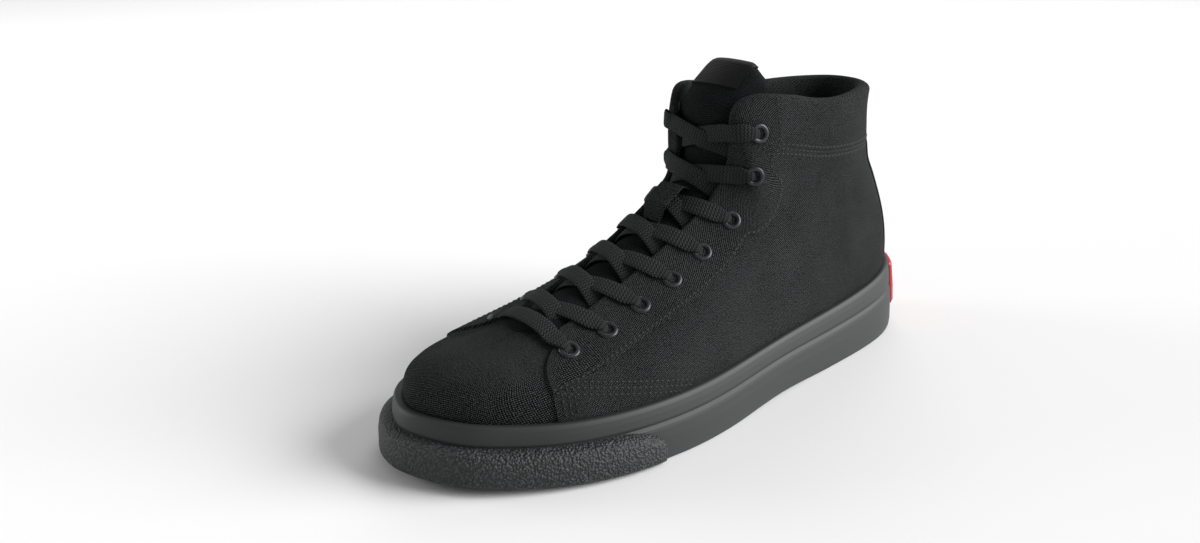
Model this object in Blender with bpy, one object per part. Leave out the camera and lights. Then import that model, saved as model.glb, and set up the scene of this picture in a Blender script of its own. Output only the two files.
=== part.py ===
"""High top sneaker, a left shoe: canvas upper, vulcanised rubber sole and flat laces.

Metres, +Z up. The toe points toward -Y and the outer (lateral) side toward +X.
The origin is on the floor, under the middle of the shoe's bounding box.
"""
import math
from collections import namedtuple

import bmesh
import bpy
import numpy as np
from mathutils import Matrix, Vector

MM = 0.001

# Driving dimensions of the last and of the shoe
LAST_LENGTH = 288 * MM
BALL_WIDTH = 96 * MM
COLLAR_HEIGHT = 137 * MM
SIDE_HEIGHT = 28 * MM          # rubber side above the floor at the toe
TOE_SPRING = 4.5 * MM
HEEL_LIFT = 1.5 * MM
WAIST_LIFT = 1.0 * MM
CUP_FLOOR = 9 * MM             # sole thickness under the foot

# Walls and clearances
GAP = 0.3 * MM
SOFT_GAP = 1.1 * MM             # to a soft neighbour that bends
TRIM_GAP = 0.6 * MM             # trim on the curved tongue, eyelets on the eyestay
WALL = 2.0 * MM
VAMP_STEP = 0.8 * MM           # the quarter lies this far over the vamp
COLLAR_STEP = 0.6 * MM
COLLAR_PAD = 3.6 * MM
INSOLE_THICKNESS = 4.5 * MM
TONGUE_THICKNESS = 3.2 * MM

# Throat, eyelets and laces
EYELETS = 8
EYELET_SETBACK = 12.5 * MM     # eyelet centre to the throat edge
TOP_EYELET_DROP = 12 * MM      # along the edge, from the collar corner
FRONT_EYELET_GAP = 16 * MM     # along the edge, from the front end of the throat
EYELET_RADIUS = 4.5 * MM
HOLE_RADIUS = 2.8 * MM
BORE_RADIUS = 1.9 * MM
LACE_WIDTH = 8 * MM
LACE_THICKNESS = 1.3 * MM
LACE_START = 3.2 * MM          # a crossing's strand starts this far inside the edge
BAR_FORWARD = 1.6 * MM         # the bottom bar from the foremost eyelets' line
LACE_SEAT = 0.8 * MM           # under a lace on the eyestay
ANKLE_RISE = 0.7 * MM          # more under the crossings in the ankle's bend
ANKLE_CROSSING = 6             # the first of them

# Tongue, its label and its lace keeper
TONGUE_WING_TOP = 8 * MM       # how far the tongue runs on under the eyestays
TONGUE_WING = 13 * MM
TONGUE_WING_FRONT = 8 * MM
WING_SINK = 0.9 * MM           # the wings' edges lie this much deeper
TONGUE_RISE = 21 * MM          # above its station at the collar corner
TONGUE_DRIFT = 0.2             # to the outer side, per distance back at its top
TONGUE_ROOT = 8 * MM          # how far it runs on under the vamp
LABEL_WIDTH = 31 * MM
LABEL_THICKNESS = 0.8 * MM
KEEPER_WIDTH = 13 * MM
KEEPER_LENGTH = 20 * MM
KEEPER_THICKNESS = 0.7 * MM
KEEPER_FRONT = 5.4             # its front edge, counted in eyelets

# Rubber trim and heel tape
BUMPER_THICKNESS = 4.7 * MM
BUMPER_END = 0.715             # share of the last length where the bumper starts
PATCH_THICKNESS = 1.4 * MM
TAPE_THICKNESS = 0.9 * MM
TREAD_WIDTH = 2.6 * MM
TREAD_DEPTH = 1.6 * MM
TREAD_PITCH = 12.5 * MM
TREAD_BORDER = 9 * MM
TREAD_ANGLE = math.radians(20)

# Plan of the last: shares of its length and of the ball width, + is the outer side
Plan = namedtuple("Plan", "along centre half")
LAST_PLAN = (
    Plan(0.05, 0.000, 0.222),
    Plan(0.10, 0.000, 0.290),
    Plan(0.18, 0.005, 0.333),
    Plan(0.30, 0.022, 0.352),
    Plan(0.42, 0.042, 0.370),
    Plan(0.52, 0.050, 0.410),
    Plan(0.62, 0.040, 0.460),
    Plan(0.70, 0.012, 0.487),
    Plan(0.78, -0.018, 0.480),
    Plan(0.86, -0.050, 0.430),
    Plan(0.93, -0.078, 0.330),
    Plan(0.97, -0.090, 0.225),
)
HEEL_CURVE = 0.48              # roundness of the plan's two ends
TOE_CURVE = 0.52
TOE_CENTRE = -0.100

# Top edge of the rubber side: share of the length, share of SIDE_HEIGHT
SideTop = namedtuple("SideTop", "along height")
SIDE_TOP = (
    SideTop(0.00, 1.36),
    SideTop(0.12, 1.20),
    SideTop(0.35, 1.02),
    SideTop(0.66, 0.93),
    SideTop(0.88, 0.93),
    SideTop(1.00, 1.00),
)

# Ribs of the upper, from the heel's middle (at 0) round to the toe's middle (at 1).
# Each rib rises straight from the rubber's edge by rise, and reaches the top line
# (collar, then throat edge) at along, up and out, where its handle is back_*.
# along is a share of the last length, up and rise of COLLAR_HEIGHT, out of BALL_WIDTH.
Rib = namedtuple("Rib", "at along up out back_along back_up back_out rise")
RIBS = (
    Rib(0.00, 0.095, 0.955, 0.000, 0.028, -0.30, 0.00, 0.27),
    Rib(0.10, 0.119, 0.953, 0.180, 0.024, -0.29, -0.01, 0.29),
    Rib(0.20, 0.210, 0.950, 0.305, 0.000, -0.27, 0.00, 0.33),
    Rib(0.29, 0.330, 0.965, 0.320, -0.015, -0.25, 0.03, 0.34),
    Rib(0.35, 0.428, 1.005, 0.262, -0.010, -0.25, 0.09, 0.34),
    Rib(0.38, 0.460, 0.985, 0.215, -0.010, -0.24, 0.13, 0.33),
    Rib(0.46, 0.463, 0.800, 0.177, -0.015, -0.17, 0.17, 0.28),
    Rib(0.56, 0.552, 0.605, 0.170, 0.000, -0.13, 0.17, 0.22),
    Rib(0.68, 0.712, 0.450, 0.160, 0.020, -0.10, 0.17, 0.16),
    Rib(0.80, 0.808, 0.390, 0.148, 0.050, -0.085, 0.15, 0.14),
    Rib(0.90, 0.836, 0.388, 0.080, 0.080, -0.055, 0.07, 0.14),
    Rib(1.00, 0.841, 0.387, 0.000, 0.090, -0.040, 0.00, 0.14),
)
THROAT_SHIFT = 0.010           # the throat leans to the outer side at its front end
CORNER_AT = 0.375              # rib at the collar's front corner
THROAT_BLEND = 0.05            # the bridge over the throat evens the edges' normals over this
COLLAR_END = 0.335             # rib where the padded collar ends
COLLAR_SEAM = 0.76             # share of a rib's height at the collar panel's seam
QUARTER_END = 0.785            # rib along which the quarter ends over the vamp
BRIDGE_END = 0.77              # foremost rib with a full width of throat
TAPE_AT = 0.12                 # rib at the heel tape's edge
PATCH_AT = 0.14                # rib at the heel patch's edge

# Outer face of the rubber side: share of its height, distance out from the last
SideRow = namedtuple("SideRow", "height out")
SIDE_ROWS = (
    SideRow(0.00, 4.6 * MM),
    SideRow(0.05, 5.8 * MM),
    SideRow(0.13, 6.0 * MM),
    SideRow(0.40, 5.5 * MM),
    SideRow(0.63, 4.4 * MM),
    SideRow(0.655, 3.7 * MM),
    SideRow(0.69, 3.8 * MM),
    SideRow(0.96, 2.5 * MM),
    SideRow(1.00, 1.9 * MM),
)
PLATE_AT = 0.13                # height share of the outsole plate's top edge

# Toe bumper: share of the side's height, share of BUMPER_THICKNESS
BumperRow = namedtuple("BumperRow", "height thickness")
BUMPER_ROWS = (
    BumperRow(0.03, 0.45),
    BumperRow(0.13, 0.95),
    BumperRow(0.40, 1.00),
    BumperRow(0.54, 0.93),
    BumperRow(0.63, 0.66),
    BumperRow(0.66, 0.22),
)
PATCH_FOOT = 0.34
PATCH_TOP = 0.97

# Top of the tongue: shares of TONGUE_RISE upward and back, share of the half width
TongueRow = namedtuple("TongueRow", "rise back width")
TONGUE_TOP = (
    TongueRow(0.30, 0.16, 0.93),
    TongueRow(0.60, 0.42, 0.88),
    TongueRow(0.86, 0.68, 0.84),
    TongueRow(1.00, 0.84, 0.72),
)

COLOURS = {
    # name: red, green, blue, roughness
    "canvas_black": (0.020, 0.021, 0.024, 0.85),
    "rubber_black": (0.030, 0.031, 0.034, 0.55),
    "rubber_red": (0.50, 0.012, 0.018, 0.45),
    "lace_black": (0.028, 0.029, 0.032, 0.80),
    "eyelet_black": (0.035, 0.036, 0.038, 0.40),
    "foam_black": (0.022, 0.022, 0.024, 0.90),
    "label_black": (0.015, 0.015, 0.017, 0.70),
}


def spline(knots, values, flat):
    """Cubic through the knots, with level ends where flat is set, else free ends."""
    x = np.asarray(knots, float)
    y = np.asarray(values, float)
    h = np.diff(x)
    count = len(x)
    lhs = np.zeros((count, count))
    rhs = np.zeros(count)
    for i in range(1, count - 1):
        lhs[i, i - 1:i + 2] = h[i - 1], 2 * (h[i - 1] + h[i]), h[i]
        rhs[i] = 6 * ((y[i + 1] - y[i]) / h[i] - (y[i] - y[i - 1]) / h[i - 1])
    lhs[0, 0] = lhs[-1, -1] = 1
    if flat:
        lhs[0, :2] = 2 * h[0], h[0]
        lhs[-1, -2:] = h[-1], 2 * h[-1]
        rhs[0] = 6 * (y[1] - y[0]) / h[0]
        rhs[-1] = -6 * (y[-1] - y[-2]) / h[-1]
    bend = np.linalg.solve(lhs, rhs)

    def at(t):
        t = np.clip(t, x[0], x[-1])
        k = np.clip(np.searchsorted(x, t) - 1, 0, count - 2)
        d = h[k]
        a = (x[k + 1] - t) / d
        b = (t - x[k]) / d
        line = a * y[k] + b * y[k + 1]
        return line + ((a ** 3 - a) * bend[k] + (b ** 3 - b) * bend[k + 1]) * d * d / 6

    return at


def smooth(t):
    """Eased step from 0 at t = 0 to 1 at t = 1."""
    t = np.clip(t, 0.0, 1.0)
    return t * t * (3 - 2 * t)


def unit(vector):
    """Vectors along the last axis, scaled to length 1."""
    return vector / np.linalg.norm(vector, axis=-1, keepdims=True)


def plan_splines():
    """Centre line and roundness of the last's plan, over the ribs' numbering."""
    along = np.array([0.0] + [row.along for row in LAST_PLAN] + [1.0])
    at = np.arccos(1 - 2 * along) / math.pi
    ends = [row.half / (2 * math.sqrt(row.along * (1 - row.along))) for row in LAST_PLAN]
    centre = [LAST_PLAN[0].centre] + [row.centre for row in LAST_PLAN] + [TOE_CENTRE]
    return spline(at, centre, True), spline(at, [HEEL_CURVE] + ends + [TOE_CURVE], True)


def column(name, flat=True):
    """Spline through one column of the ribs' table."""
    return spline([rib.at for rib in RIBS], [getattr(rib, name) for rib in RIBS], flat)


PLAN_CENTRE, PLAN_ROUND = plan_splines()
SIDE_TOP_AT = spline([row.along for row in SIDE_TOP], [row.height for row in SIDE_TOP], False)
RIB = {name: column(name) for name in ("along", "up", "back_along", "back_up", "rise")}
RIB.update({name: column(name, False) for name in ("out", "back_out")})


def share(at):
    """Share of the last length under a rib's foot."""
    return (1 - np.cos(np.pi * at)) / 2


def lift(along):
    """Rise of the sole's underside: zero under the heel's and the ball's flat spots."""
    toe = np.clip((along - 0.76) / 0.28, 0, None) ** 2
    heel = np.clip((0.06 - along) / 0.08, 0, None) ** 2
    waist = np.clip(1 - ((along - 0.43) / 0.14) ** 2, 0, None) ** 2
    return TOE_SPRING * toe + HEEL_LIFT * heel + WAIST_LIFT * waist


def side_top(along):
    """Height of the rubber side's top edge."""
    return SIDE_TOP_AT(along) * SIDE_HEIGHT


def plan(at, side, out=0.0):
    """Plan of the last (x and distance from the heel), moved out by a distance."""
    def ring(t):
        x = PLAN_CENTRE(t) + side * PLAN_ROUND(t) * np.sin(np.pi * t)
        return np.stack([x * BALL_WIDTH, share(t) * LAST_LENGTH], -1)

    step = 1e-4
    tangent = unit(ring(at + step) - ring(at - step))
    normal = np.stack([tangent[..., 1], -tangent[..., 0]], -1) * side
    return ring(at) + normal * np.expand_dims(out, -1)


def rib_point(at, v, side):
    """Point of the upper's basic skin, from the rubber's edge (v 0) to the top line (v 1)."""
    at, v = np.broadcast_arrays(np.asarray(at, float), np.asarray(v, float))
    foot = plan(at, side)
    centre = THROAT_SHIFT * smooth((at - CORNER_AT) / (1 - CORNER_AT))
    top = np.stack([(centre + side * RIB["out"](at)) * BALL_WIDTH,
                    RIB["along"](at) * LAST_LENGTH, RIB["up"](at) * COLLAR_HEIGHT], -1)
    handle = np.stack([side * RIB["back_out"](at) * BALL_WIDTH,
                       RIB["back_along"](at) * LAST_LENGTH,
                       RIB["back_up"](at) * COLLAR_HEIGHT], -1)
    foot = np.concatenate([foot, side_top(share(at))[..., None]], -1)
    rise = foot + np.stack([at * 0, at * 0, RIB["rise"](at) * COLLAR_HEIGHT], -1)
    w = v[..., None]
    return ((1 - w) ** 3 * foot + 3 * w * (1 - w) ** 2 * rise
            + 3 * w * w * (1 - w) * (top + handle) + w ** 3 * top)


def rib_slopes(at, v, side):
    """Slopes of the skin toward the toe and toward the top line."""
    step = 1e-4
    low = np.clip(at - step, 0, 1)
    high = np.clip(at + step, 0, 1)
    toward_toe = (rib_point(high, v, side) - rib_point(low, v, side)) / (high - low)[..., None]
    toward_top = (rib_point(at, v + step, side) - rib_point(at, v - step, side)) / (2 * step)
    return toward_toe, toward_top


def rib_normal(at, v, side):
    """Outward normal of the skin; on the centre line the two sides' mean."""
    at, v = np.broadcast_arrays(np.asarray(at, float), np.asarray(v, float))

    def one(of_side):
        toward_toe, toward_top = rib_slopes(at, v, of_side)
        return unit(np.cross(toward_toe, toward_top) * of_side)

    normal = one(side)
    middle = (at < 1e-6) | (at > 1 - 1e-6)
    return unit(np.where(middle[..., None], normal + one(-side), normal))


def relief(at, v):
    """How far the panels stand over the basic skin (the vamp lies lower)."""
    above_edge = smooth(v / 0.06)
    vamp = -VAMP_STEP * (at > QUARTER_END) * above_edge
    collar = COLLAR_STEP * (v > COLLAR_SEAM) * smooth((COLLAR_END + 0.01 - at) / 0.02)
    return vamp + collar


def wall(at, v):
    """Thickness of the upper, with the collar's padding."""
    padded = smooth((v - COLLAR_SEAM + 0.06) / 0.12) * smooth((COLLAR_END - at) / 0.05)
    quarter = VAMP_STEP * (at <= QUARTER_END)
    return WALL + quarter + (COLLAR_PAD + COLLAR_STEP) * padded


def skin(at, v, side, out=0.0):
    """Outer face of the upper, moved out along its normal."""
    away = relief(at, v) + out
    return rib_point(at, v, side) + rib_normal(at, v, side) * np.expand_dims(away, -1)


def outline_middle():
    """Middle of the shoe's plan, where the frame's origin lies."""
    at = np.linspace(0, 1, 181)
    bumper = BUMPER_THICKNESS * (share(at) > BUMPER_END)
    outer = SIDE_ROWS[2].out + bumper + PATCH_THICKNESS * (at < PATCH_AT)
    both = np.concatenate([plan(at, 1, outer), plan(at, -1, outer)])
    return (both.max(0) + both.min(0)) / 2


MIDDLE = outline_middle()


def to_frame(points):
    """From distances behind the toe to the shoe's frame."""
    points = np.array(points, float)
    return np.stack([points[..., 0] - MIDDLE[0], MIDDLE[1] - points[..., 1], points[..., 2]], -1)


def side_point(at, side, out, height, rise=0.0):
    """Point of the sole's side, at a distance out and a share of the side's height."""
    along = share(at)
    foot = lift(along)
    z = foot + height * (side_top(along) - foot) + rise
    return np.concatenate([plan(at, side, out), z[..., None]], -1)


def side_out(height):
    """Distance of the rubber side's face from the last."""
    return np.interp(height, [row.height for row in SIDE_ROWS], [row.out for row in SIDE_ROWS])


def throat_table():
    """Distance along the throat's edge from the collar corner, over the ribs."""
    at = np.linspace(CORNER_AT, 1, 400)
    edge = rib_point(at, 1.0, 1)
    steps = np.linalg.norm(np.diff(edge, axis=0), axis=1)
    return at, np.concatenate([[0.0], np.cumsum(steps)])


THROAT_AT, THROAT_LENGTH = throat_table()


def rib_at(distance):
    """Rib at a distance along the throat's edge from the collar corner."""
    return np.interp(distance, THROAT_LENGTH, THROAT_AT)


def eyelet_distance(number):
    """Distance of an eyelet along the throat's edge; 1 is the foremost."""
    front = THROAT_LENGTH[-1] - FRONT_EYELET_GAP
    pitch = (front - TOP_EYELET_DROP) / (EYELETS - 1)
    return front - pitch * (number - 1)


def throat_frame(at):
    """Edge points, normals, across directions and the run of the throat at a rib."""
    edge = {}
    normal = {}
    run = 0.0
    nearby = np.clip(at + np.linspace(-THROAT_BLEND, THROAT_BLEND, 7), CORNER_AT - 0.03, 1)
    for side in (1, -1):
        edge[side] = rib_point(at, 1.0, side)
        normal[side] = unit(rib_normal(nearby, 1.0, side).mean(0))
        run = run + unit(rib_slopes(nearby, 1.0, side)[0]).mean(0)
    run = unit(run)
    across = {}
    for side in (1, -1):
        direction = np.cross(normal[side], run) * side
        across[side] = unit(direction - run * np.dot(direction, run))
    return edge, normal, across, run


def throat(at, u):
    """Point, normal and wall on the section across the throat at a rib.

    u is the distance from the throat's middle, + toward the outer side. Between the
    edges the skin is carried on across the gap, and past them it is the eyestay's.
    """
    edge, normal, across, _ = throat_frame(at)
    half = np.linalg.norm(edge[1] - edge[-1]) / 2
    side = 1 if u >= 0 else -1
    if abs(u) > half:
        place, v = walk(at, 1.0, side, -across[side], abs(u) - half)
        return skin(place, v, side), rib_normal(place, v, side), float(wall(place, v))
    g = 0.5 - u / (2 * half)
    handle = 0.76 * half
    a = edge[1]
    b = edge[1] + across[1] * handle
    c = edge[-1] + across[-1] * handle
    d = edge[-1]
    point = (1 - g) ** 3 * a + 3 * g * (1 - g) ** 2 * b + 3 * g * g * (1 - g) * c + g ** 3 * d
    facing = unit((1 - g) * normal[1] + g * normal[-1])
    return point, facing, float(wall(at, 1.0)) * (1 - 0.45 * math.sin(math.pi * g))


def walk(at, v, side, direction, distance, steps=5):
    """Rib and height reached by walking over the skin from a point of it."""
    at = np.asarray(at, float)
    v = np.asarray(v, float)
    for _ in range(steps):
        toe, top = rib_slopes(at, v, side)
        normal = unit(np.cross(toe, top))
        heading = unit(direction - normal * np.dot(direction, normal)) * distance / steps
        matrix = np.array([[toe @ toe, toe @ top], [toe @ top, top @ top]])
        move = np.linalg.solve(matrix, np.array([heading @ toe, heading @ top]))
        at = np.clip(at + move[0], 0.0, 1.0)
        v = v + move[1]
    return at, v


def material(name):
    """Material of the colour table."""
    if name in bpy.data.materials:
        return bpy.data.materials[name]
    red, green, blue, roughness = COLOURS[name]
    made = bpy.data.materials.new(name)
    made.use_nodes = True
    shader = made.node_tree.nodes["Principled BSDF"]
    shader.inputs["Base Color"].default_value = (red, green, blue, 1.0)
    shader.inputs["Roughness"].default_value = roughness
    made.diffuse_color = (red, green, blue, 1.0)
    return made


def add_mesh(name, vertices, faces, colour, collection):
    """Object with a closed mesh whose faces point out."""
    mesh = bpy.data.meshes.new(name)
    mesh.from_pydata([tuple(v) for v in vertices], [], faces)
    shape = bmesh.new()
    shape.from_mesh(mesh)
    bmesh.ops.recalc_face_normals(shape, faces=shape.faces)
    shape.to_mesh(mesh)
    shape.free()
    mesh.shade_smooth()
    mesh.set_sharp_from_angle(angle=math.radians(35))
    mesh.materials.append(material(colour))
    made = bpy.data.objects.new(name, mesh)
    collection.objects.link(made)
    return made


def loft(name, rings, ends, colour, collection):
    """Skin over rings of equal counts. ends is wrap (last ring joins the first),
    section (strips between a section's outer and inner halves) or plan (strips
    from the outer to the inner side of the foot)."""
    rings = np.asarray(rings)
    rows, count = rings.shape[:2]
    faces = []
    for r in range(rows if ends == "wrap" else rows - 1):
        low = r * count
        high = (r + 1) % rows * count
        for i in range(count):
            j = (i + 1) % count
            faces.append((low + i, low + j, high + j, high + i))
    half = count // 2
    for base in () if ends == "wrap" else (0, (rows - 1) * count):
        if ends == "section":
            strips = [(i, i + 1, count - 2 - i, count - 1 - i) for i in range(half - 1)]
        else:
            strips = [(i, i + 1, count - 1 - i, count - i) for i in range(1, half - 1)]
            strips += [(0, 1, count - 1), (half - 1, half, half + 1)]
        faces += [tuple(base + i for i in strip) for strip in strips]
    return add_mesh(name, to_frame(rings.reshape(-1, 3)), faces, colour, collection)


def around(function, at):
    """Closed loop of a function of (rib, side), by the outer side to the toe and back."""
    outer = function(at, 1)
    inner = function(at[-2:0:-1], -1)
    return np.concatenate([outer, inner])


def upper_ribs():
    """Ribs of the upper's mesh, closer at the collar corner and the quarter's edge."""
    parts = (
        np.linspace(0, 0.30, 8, endpoint=False),
        np.linspace(0.30, 0.50, 9, endpoint=False),
        np.linspace(0.50, QUARTER_END, 7),
        np.linspace(QUARTER_END + 0.004, 1, 7),
    )
    return np.concatenate(parts)


def upper_rows():
    """Heights of the upper's rows, in a pair at the collar panel's seam."""
    below = np.array([0, 0.13, 0.30, 0.52, COLLAR_SEAM - 0.006])
    above = np.linspace(COLLAR_SEAM + 0.006, 1, 4)
    return np.concatenate([below, above])


def build_upper(collection, cutters):
    """Hollow upper, open at the collar, the throat and underneath, with its eyelet holes."""
    at = upper_ribs()
    rows = upper_rows()

    def foot(depth):
        def row(ribs, side):
            return np.concatenate([plan(ribs, side, -depth),
                                   (lift(share(ribs)) + CUP_FLOOR + GAP)[..., None]], -1)
        return row

    rings = [around(foot(0.0), at)]
    for v in rows:
        rings.append(around(lambda ribs, side, v=v: skin(ribs, v, side), at))
    for turn in (45, 90, 135):
        rings.append(around(lambda ribs, side, turn=turn: rim(ribs, side, turn), at))
    for v in rows[::-1]:
        rings.append(around(lambda ribs, side, v=v: skin(ribs, v, side, -wall(ribs, v)), at))
    rings.append(around(foot(WALL + VAMP_STEP), at))
    upper = loft("upper", rings, "wrap", "canvas_black", collection)
    holes = bmesh.new()
    for number in range(1, EYELETS + 1):
        for side in (1, -1):
            bmesh.ops.create_cone(holes, cap_ends=True, segments=8, radius1=HOLE_RADIUS,
                                  radius2=HOLE_RADIUS, depth=10 * MM,
                                  matrix=eyelet_matrix(number, side))
    cut(upper, cutter_object("eyelet_holes", holes, cutters), "DIFFERENCE")
    return upper


def rim(at, side, turn):
    """Rounded top edge of the wall, at a turn from the outer face to the inner one."""
    thick = wall(at, 1.0)
    normal = rib_normal(at, 1.0, side)
    toe, top = rib_slopes(at, 1.0, side)
    run = unit(toe)
    up = unit(top - run * np.sum(top * run, -1, keepdims=True))
    middle = skin(at, 1.0, side, -thick / 2)
    height = np.minimum(thick / 2, 1.6 * MM)
    return (middle + normal * (math.cos(math.radians(turn)) * thick / 2)[..., None]
            + up * (math.sin(math.radians(turn)) * height)[..., None])


def cutter_object(name, shape, cutters):
    """Hidden object that cuts or joins another."""
    mesh = bpy.data.meshes.new(name)
    shape.to_mesh(mesh)
    shape.free()
    made = bpy.data.objects.new(name, mesh)
    made.hide_render = True
    made.display_type = "WIRE"
    cutters.objects.link(made)
    return made


def cut(target, cutter, operation):
    """Exact Boolean between two objects."""
    modifier = target.modifiers.new(operation.lower(), "BOOLEAN")
    modifier.operation = operation
    modifier.solver = "EXACT"
    modifier.object = cutter


def eyelet_matrix(number, side):
    """Place of an eyelet: its centre on the eyestay's face, +Z along the normal."""
    at = rib_at(eyelet_distance(number))
    edge, _, _, _ = throat_frame(at)
    half = np.linalg.norm(edge[1] - edge[-1]) / 2
    point, normal, _ = throat(at, side * (half + EYELET_SETBACK))
    facing = Vector((normal[0], -normal[1], normal[2]))
    turn = facing.to_track_quat("Z", "Y").to_matrix().to_4x4()
    return Matrix.Translation(Vector(to_frame(point))) @ turn


def eyelet_profile():
    """Radius and height of the eyelet's section: flange, then barrel through the wall."""
    seat = 0.2 * MM + TRIM_GAP
    crown = seat + 1.0 * MM
    barrel = HOLE_RADIUS - GAP
    foot = GAP - WALL - VAMP_STEP
    return (
        (BORE_RADIUS, foot),
        (BORE_RADIUS, crown - 0.3 * MM),
        (0.66 * EYELET_RADIUS, crown),
        (EYELET_RADIUS, seat + 0.3 * MM),
        (EYELET_RADIUS, seat),
        (barrel, seat),
        (barrel, foot),
    )


def build_eyelets(collection):
    """Two rows of turned eyelets, each its own object on the eyestays."""
    segments = 8
    profile = eyelet_profile()
    for side, word in ((1, "lateral"), (-1, "medial")):
        for number in range(1, EYELETS + 1):
            shape = bmesh.new()
            loop = [shape.verts.new((radius, 0, z)) for radius, z in profile]
            edges = [shape.edges.new((a, b)) for a, b in zip(loop, loop[1:] + loop[:1])]
            bmesh.ops.spin(shape, geom=loop + edges, cent=(0, 0, 0), axis=(0, 0, 1),
                           angle=2 * math.pi, steps=segments, use_merge=True)
            bmesh.ops.remove_doubles(shape, verts=shape.verts, dist=1e-6)
            bmesh.ops.recalc_face_normals(shape, faces=shape.faces)
            name = f"eyelet_{word}_{number}"
            mesh = bpy.data.meshes.new(name)
            shape.to_mesh(mesh)
            shape.free()
            mesh.shade_smooth()
            mesh.set_sharp_from_angle(angle=math.radians(50))
            mesh.materials.append(material("eyelet_black"))
            made = bpy.data.objects.new(name, mesh)
            made.matrix_world = eyelet_matrix(number, side)
            collection.objects.link(made)


def sole_ribs():
    """Ribs of the sole's meshes, with one at each end of the bumper and the patch."""
    bumper = math.acos(1 - 2 * BUMPER_END) / math.pi
    parts = (
        np.linspace(0, PATCH_AT, 4, endpoint=False),
        np.linspace(PATCH_AT, bumper, 13, endpoint=False),
        np.linspace(bumper, bumper + 0.05, 3, endpoint=False),
        np.linspace(bumper + 0.05, 1, 10),
    )
    return np.concatenate(parts), bumper


def build_outsole(collection, cutters):
    """Outsole with its plate, the core under the foot and the tread's main grooves."""
    at, _ = sole_ribs()
    rings = []
    for row in SIDE_ROWS:
        if row.height > PLATE_AT:
            break
        rings.append(around(lambda ribs, side, row=row:
                            side_point(ribs, side, row.out, row.height), at))
    plate = around(lambda ribs, side: side_point(ribs, side, -GAP, PLATE_AT), at)
    floor = around(lambda ribs, side: side_point(ribs, side, -GAP, 0.0, CUP_FLOOR), at)
    rings += [plate, floor]
    outsole = loft("outsole", rings, "plan", "rubber_black", collection)
    cut(outsole, cutter_object("tread_grooves", tread(), cutters), "DIFFERENCE")


def tread():
    """Chevron grooves under the heel and the ball, short of the sole's border."""
    shape = bmesh.new()
    for first, last in ((0.09, 0.27), (0.56, 0.76)):
        count = int((last - first) * LAST_LENGTH / TREAD_PITCH)
        for i in range(count + 1):
            along = first * LAST_LENGTH + i * TREAD_PITCH
            at = math.acos(1 - 2 * along / LAST_LENGTH) / math.pi
            outer = plan(np.asarray(at), 1)[0]
            inner = plan(np.asarray(at), -1)[0]
            middle = (outer + inner) / 2
            reach = (outer - inner) / 2 - TREAD_BORDER
            for side in (1, -1):
                x = middle + side * (reach + TREAD_WIDTH) / 2
                centre = to_frame(np.array([x, along, 0.0]))
                turn = Matrix.Rotation(side * TREAD_ANGLE, 4, "Z")
                length = (reach - TREAD_WIDTH) / math.cos(TREAD_ANGLE)
                size = Matrix.Diagonal((length, TREAD_WIDTH, 2 * TREAD_DEPTH, 1.0))
                bmesh.ops.create_cube(shape, size=1.0,
                                      matrix=Matrix.Translation(Vector(centre)) @ turn @ size)
    return shape


def build_foxing(collection):
    """Rubber side band: plain band with the groove under its top strip."""
    at, _ = sole_ribs()
    rows = [row for row in SIDE_ROWS if row.height > PLATE_AT]
    lines = [around(lambda ribs, side: side_point(ribs, side, side_out(PLATE_AT), PLATE_AT, GAP), at)]
    for row in rows:
        lines.append(around(lambda ribs, side, row=row:
                            side_point(ribs, side, row.out, row.height), at))
    lines.append(around(lambda ribs, side: side_point(ribs, side, GAP, 1.0), at))
    lines.append(around(lambda ribs, side: side_point(ribs, side, GAP, PLATE_AT, GAP), at))
    loft("foxing", lines, "wrap", "rubber_black", collection)


def both_sides(at):
    """Ribs and sides from the outer end round the middle to the inner end."""
    return [(rib, 1) for rib in at] + [(rib, -1) for rib in at[-2::-1]]


def build_bumper(collection):
    """Thick toe bumper over the rubber side, its ends rounded off at the top."""
    at, start = sole_ribs()
    ribs = at[at >= start - 1e-9]
    rings = []
    for rib, side in both_sides(ribs):
        from_end = smooth((rib - start) / 0.05 * 0.5 + 0.5) * 2 - 1
        low = BUMPER_ROWS[0].height
        squeeze = 0.50 + 0.50 * math.sqrt(max(from_end, 0))
        inner = []
        outer = []
        for row in BUMPER_ROWS:
            height = low + (row.height - low) * squeeze
            thick = BUMPER_THICKNESS * row.thickness * (0.55 + 0.45 * from_end)
            seat = side_out(max(height, PLATE_AT)) + GAP
            inner.append(side_point(np.asarray(rib), side, seat, height))
            outer.append(side_point(np.asarray(rib), side, seat + thick, height))
        rings.append(inner + outer[::-1])
    loft("toe_bumper", rings, "section", "rubber_black", collection)


def build_patch(collection):
    """Heel patch on the rubber side."""
    at, _ = sole_ribs()
    ribs = at[at <= PATCH_AT + 1e-9][::-1]
    heights = [PATCH_FOOT] + [row.height for row in SIDE_ROWS if PATCH_FOOT < row.height < PATCH_TOP]
    heights += [PATCH_TOP]
    rings = []
    for rib, side in both_sides(ribs):
        inner = [side_point(np.asarray(rib), side, side_out(h) + GAP, h) for h in heights]
        outer = [side_point(np.asarray(rib), side, SIDE_ROWS[3].out * (1 - 0.45 * h) + PATCH_THICKNESS
                            + 1.4 * MM, h) for h in heights]
        rings.append(inner + outer[::-1])
    loft("heel_patch", rings, "section", "rubber_red", collection)


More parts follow.
